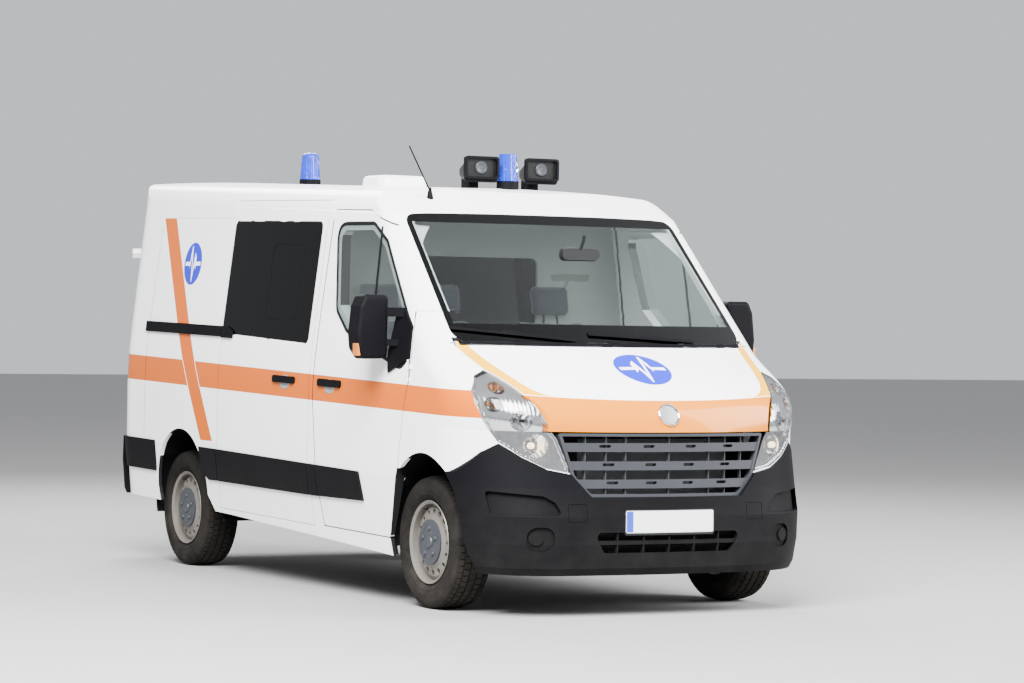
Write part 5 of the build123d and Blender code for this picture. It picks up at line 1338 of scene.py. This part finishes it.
# distance from the dome's top, radius
BEACON_LAMP = [
    (-0.148, 0.030), (-0.136, 0.040), (-0.128, 0.040), (-0.120, 0.012), (-0.030, 0.010), (-0.026, 0),
]
BEACON_DISH = [(0.0, 0.010), (0.022, 0.034), (0.030, 0.042), (0.032, 0.042), (0.024, 0.033), (0.003, 0.008)]
DISH_PLACE = {"forward": 0.012, "under": 0.075}
dome_skin = skin("beacon_domes")
for name, distance in BEACONS:
    y = aft_up(distance, 0)[0]
    top = dome_skin.ray_cast(Vector((0, y, 3.0)), Vector((0, 0, -1)))[0].z

    def build_reflector(bm):
        lathe(bm, BEACON_LAMP, (0, y, top), (0, 0, 1), 24)
        dish = (0, y - DISH_PLACE["forward"], top - DISH_PLACE["under"])
        lathe(bm, BEACON_DISH, dish, (0, -1, 0), 24, closed=True)

    piece(f"beacon_reflector_{name}", build_reflector, bright_chrome, "body")
print("beacons", len(BEACONS))

# %% [markdown]
# ## Handles
#
# Each pull handle bridges a round dish pressed into the door. The dish is a shallow grey bowl set against
# the panel behind the handle.

# %% Handle dishes
lamp_grey = finish("satin grey dish", rgb(120, 122, 126), rgb(134, 136, 140), 300.0, (0.3, 0.4), bump=0.02)
HANDLE_DISHES = [
    # name, node, rides on, hand, behind the datum
    ("front_left", "front_door_left", "front_door_left", 1, 1035),
    ("front_right", "front_door_right", "front_door_right", -1, 1035),
    ("sliding", "sliding_door", "body", -1, 1610),
]
DISH = {"half_wide": 0.064, "half_tall": 0.040, "under": 0.012, "steps": 36}
# share of the dish's size, distance off the panel
DISH_ROWS = ((1.0, 0.0005), (0.94, 0.0030), (0.86, 0.0022), (0.45, 0.0010), (0.0, 0.0008))
for name, node_name, rider, hand, distance in HANDLE_DISHES:
    tree = skin(node_name)
    y, z = aft_up(distance, 1148)

    def build_dish(bm):
        rows = []
        for share, lift in DISH_ROWS:
            if share == 0:
                rows.append([bm.verts.new((panel + hand * lift, y, z - DISH["under"]))])
                continue
            row = []
            for k in range(DISH["steps"]):
                angle = 2 * math.pi * k / DISH["steps"]
                at_y = y + DISH["half_wide"] * share * math.cos(angle)
                at_z = z - DISH["under"] + DISH["half_tall"] * share * math.sin(angle)
                row.append(bm.verts.new((panel + (at_z - z) * slope + hand * lift, at_y, at_z)))
            rows.append(row)
        for first, second in zip(rows, rows[1:]):
            fan_faces(bm, first, second, DISH["steps"])

    high, low = side_point(tree, hand, y, z + 0.05), side_point(tree, hand, y, z - 0.07)
    slope = (high.x - low.x) / (high.z - low.z)
    panel = low.x + (z - low.z) * slope
    piece(f"handle_dish_{name}", build_dish, lamp_grey, rider)
print("handle dishes", len(HANDLE_DISHES))

# %% [markdown]
# ## Net behind the lower air intake
#
# A coarse black net stands behind the bars of the lower intake and keeps stones off the radiator. It is
# one flat frame filled with crossed wires, hung on the bumper's inner side, with a thin baffle behind it.

# %% Intake net
NET = {"half": 0.475, "low": 0.262, "high": 0.424, "behind": 0.075}
NET_PITCH, NET_WIRE, NET_DEPTH = 0.014, 0.0055, 0.004
net_y = nose_point(bumper_skin, 0.0, 0.50).y + NET["behind"]

NET_CORNERS = rectangle(-NET["half"], NET["low"], NET["half"], NET["high"])


def build_net(bm):
    tube(bm, [(x, net_y, z) for x, z in NET_CORNERS], 0.014, 0.010, (0, -1, 0), sides=8)
    wires = []
    for k in range(1, int(2 * NET["half"] / NET_PITCH)):
        x = -NET["half"] + k * NET_PITCH
        wires.append([(x, net_y, NET["low"]), (x, net_y, NET["high"])])
    for k in range(1, int((NET["high"] - NET["low"]) / NET_PITCH)):
        z = NET["low"] + k * NET_PITCH
        wires.append([(-NET["half"], net_y, z), (NET["half"], net_y, z)])
    for wire in wires:
        tube(bm, wire, NET_WIRE, NET_DEPTH, (0, -1, 0), closed=False, sides=4)


def build_baffle(bm):
    plaque(bm, rounded(NET_CORNERS, 0.01, spacing=1.0), net_y + 0.010, net_y + 0.014)


piece("intake_baffle", build_baffle, black_rubber, "body")
piece("intake_net", build_net, black_rubber, "body")
print("net at y", round(net_y, 3))

# %% [markdown]
# ## Tail lamps and rear doors
#
# Each red tail lamp has an amber field for the indicator and a clear one for the reversing light, laid
# on its curved lens. The rear doors carry a pull handle on a flat plate and rubber round their windows.

# %% Tail lamp fields and rear seals
lamp_skin = skin("tail_lamps")
rear_skin = skin("rear_door_left", "rear_door_right", "rear_glass_left", "rear_glass_right")
TAIL_FIELDS = [
    # name, low, high, material
    ("indicator", 0.905, 0.975, amber_lens),
    ("reversing", 0.830, 0.895, lens_glass),
]


def rear_point(tree, x, z, lift=0.0):
    """The rearmost point of a skin at this place in rear view."""
    hit = tree.ray_cast(Vector((x, 4.0, z)), Vector((0, -1, 0)))[0]
    return Vector((x, hit.y + lift, z)) if hit else None


for side_name, hand in HANDS:
    for name, low, high, lens in TAIL_FIELDS:

        def build_field(bm):
            columns = [0.895 + 0.016 * k for k in range(7)]
            rows = []
            for z in [low + (high - low) * k / 4 for k in range(5)]:
                line = [rear_point(lamp_skin, hand * x, z, 0.002) for x in columns]
                rows.append([p for p in line if p])
            count = min(len(r) for r in rows)
            grid = [[bm.verts.new(p) for p in r[:count]] for r in rows]
            inner = [[bm.verts.new(p.co - Vector((0, 0.004, 0))) for p in r] for r in grid]
            for first, second in [*zip(grid, grid[1:]), *zip(inner, inner[1:])]:
                band_faces(bm, first, second, wrap=False)
            rims = []
            for net in (grid, inner):
                right, left = [row[-1] for row in net[1:-1]], [row[0] for row in net[1:-1]]
                rims.append([*net[0], *right, *reversed(net[-1]), *reversed(left)])
            band_faces(bm, *rims)

        piece(f"tail_{name}_{side_name}", build_field, lens, "body")

    def build_rear_seal(bm):
        outline = rounded(rectangle(0.112, 1.402, 0.758, 2.018), 0.06)
        tube(bm, [rear_point(rear_skin, hand * p.x, p.y) for p in outline], 0.012, 0.006, (0, 1, 0))

    door = f"rear_door_{side_name}"
    piece(f"rear_window_seal_{side_name}", build_rear_seal, black_rubber, door)


print("tail lamp fields", len(HANDS) * len(TAIL_FIELDS), "rear seals", len(HANDS))

# %% Rear door handle
# x, distance off the door
REAR_HANDLE = [(0.055, 0.003), (0.065, 0.018), (0.115, 0.024), (0.165, 0.018), (0.175, 0.003)]


def build_rear_handle(bm):
    y = rear_point(rear_skin, 0.11, 1.17).y
    outline = rounded(rectangle(0.035, 1.145, 0.195, 1.195), 0.02, spacing=1.0)
    plaque(bm, outline, y + 0.004, y - 0.004)
    tube(bm, [(x, y + out, 1.17) for x, out in REAR_HANDLE], 0.022, 0.012, (0, 0, 1), closed=False)


piece("rear_door_handle", build_rear_handle, dark_plastic, "rear_door_left")
print("rear handle ready")

# %% [markdown]
# ## Floor, light and camera
#
# The van stands on a plain pale floor under a large soft key light from the front right, a fill from the
# other side and an even pale sky. The camera stands well back with a long lens, as the photograph was
# taken, so the nose looks no bigger than it is.

# %% Floor and lights
floor_mesh = bpy.data.meshes.new("floor")
floor_mesh.from_pydata([(-60, -60, 0), (60, -60, 0), (60, 60, 0), (-60, 60, 0)], [], [(0, 1, 2, 3)])
floor = bpy.data.objects.new("floor", floor_mesh)
bpy.context.scene.collection.objects.link(floor)
floor_material = finish(
    "pale floor", (0.30, 0.295, 0.29, 1), (0.34, 0.335, 0.33, 1), 20.0, (0.7, 0.8), bump=0.0,
)
floor_mesh.materials.append(floor_material)

world = bpy.data.worlds.new("studio")
world.use_nodes = True
sky = world.node_tree.nodes["Background"].inputs
sky["Color"].default_value = (0.93, 0.95, 1.0, 1)
sky["Strength"].default_value = 0.8
bpy.context.scene.world = world

LIGHTS = [
    # name, place, aimed at, size, power
    ("key", (-5.5, -7.5, 8.0), (0, -0.5, 1.0), 6.0, 7000),
    ("fill", (8.0, -6.0, 5.0), (0, 0, 1.2), 6.0, 2800),
    ("rim", (2.0, 8.0, 7.0), (0, 0, 1.4), 5.0, 1400),
]
for name, place, aim, size, power in LIGHTS:
    light = bpy.data.lights.new(name, "AREA")
    light.size, light.energy = size, power
    lamp = bpy.data.objects.new(name, light)
    lamp.location = place
    lamp.rotation_euler = (Vector(aim) - Vector(place)).to_track_quat("-Z", "Y").to_euler()
    bpy.context.scene.collection.objects.link(lamp)
print("lights", len(LIGHTS))

# %% Camera
CAMERA_PLACE = Vector((-8.986, -17.092, 1.502))
CAMERA_AZIMUTH, CAMERA_ELEVATION, CAMERA_ROLL = (math.radians(v) for v in (-28.912, 0.373, 0.906))
camera_data = bpy.data.cameras.new("camera")
camera_data.sensor_width = 36.0
camera_data.lens = 118.04
camera_data.clip_end = 300.0
camera = bpy.data.objects.new("camera", camera_data)
back = Vector((
    math.sin(CAMERA_AZIMUTH) * math.cos(CAMERA_ELEVATION),
    -math.cos(CAMERA_AZIMUTH) * math.cos(CAMERA_ELEVATION),
    math.sin(CAMERA_ELEVATION),
))
level = (-back).to_track_quat("-Z", "Y").to_matrix().to_4x4()
camera.matrix_world = Matrix.Translation(CAMERA_PLACE) @ level @ Matrix.Rotation(CAMERA_ROLL, 4, "Z")
bpy.context.scene.collection.objects.link(camera)
bpy.context.scene.camera = camera
print("camera at", [round(v, 3) for v in camera.location])

# %% Update the scene
bpy.context.view_layer.update()
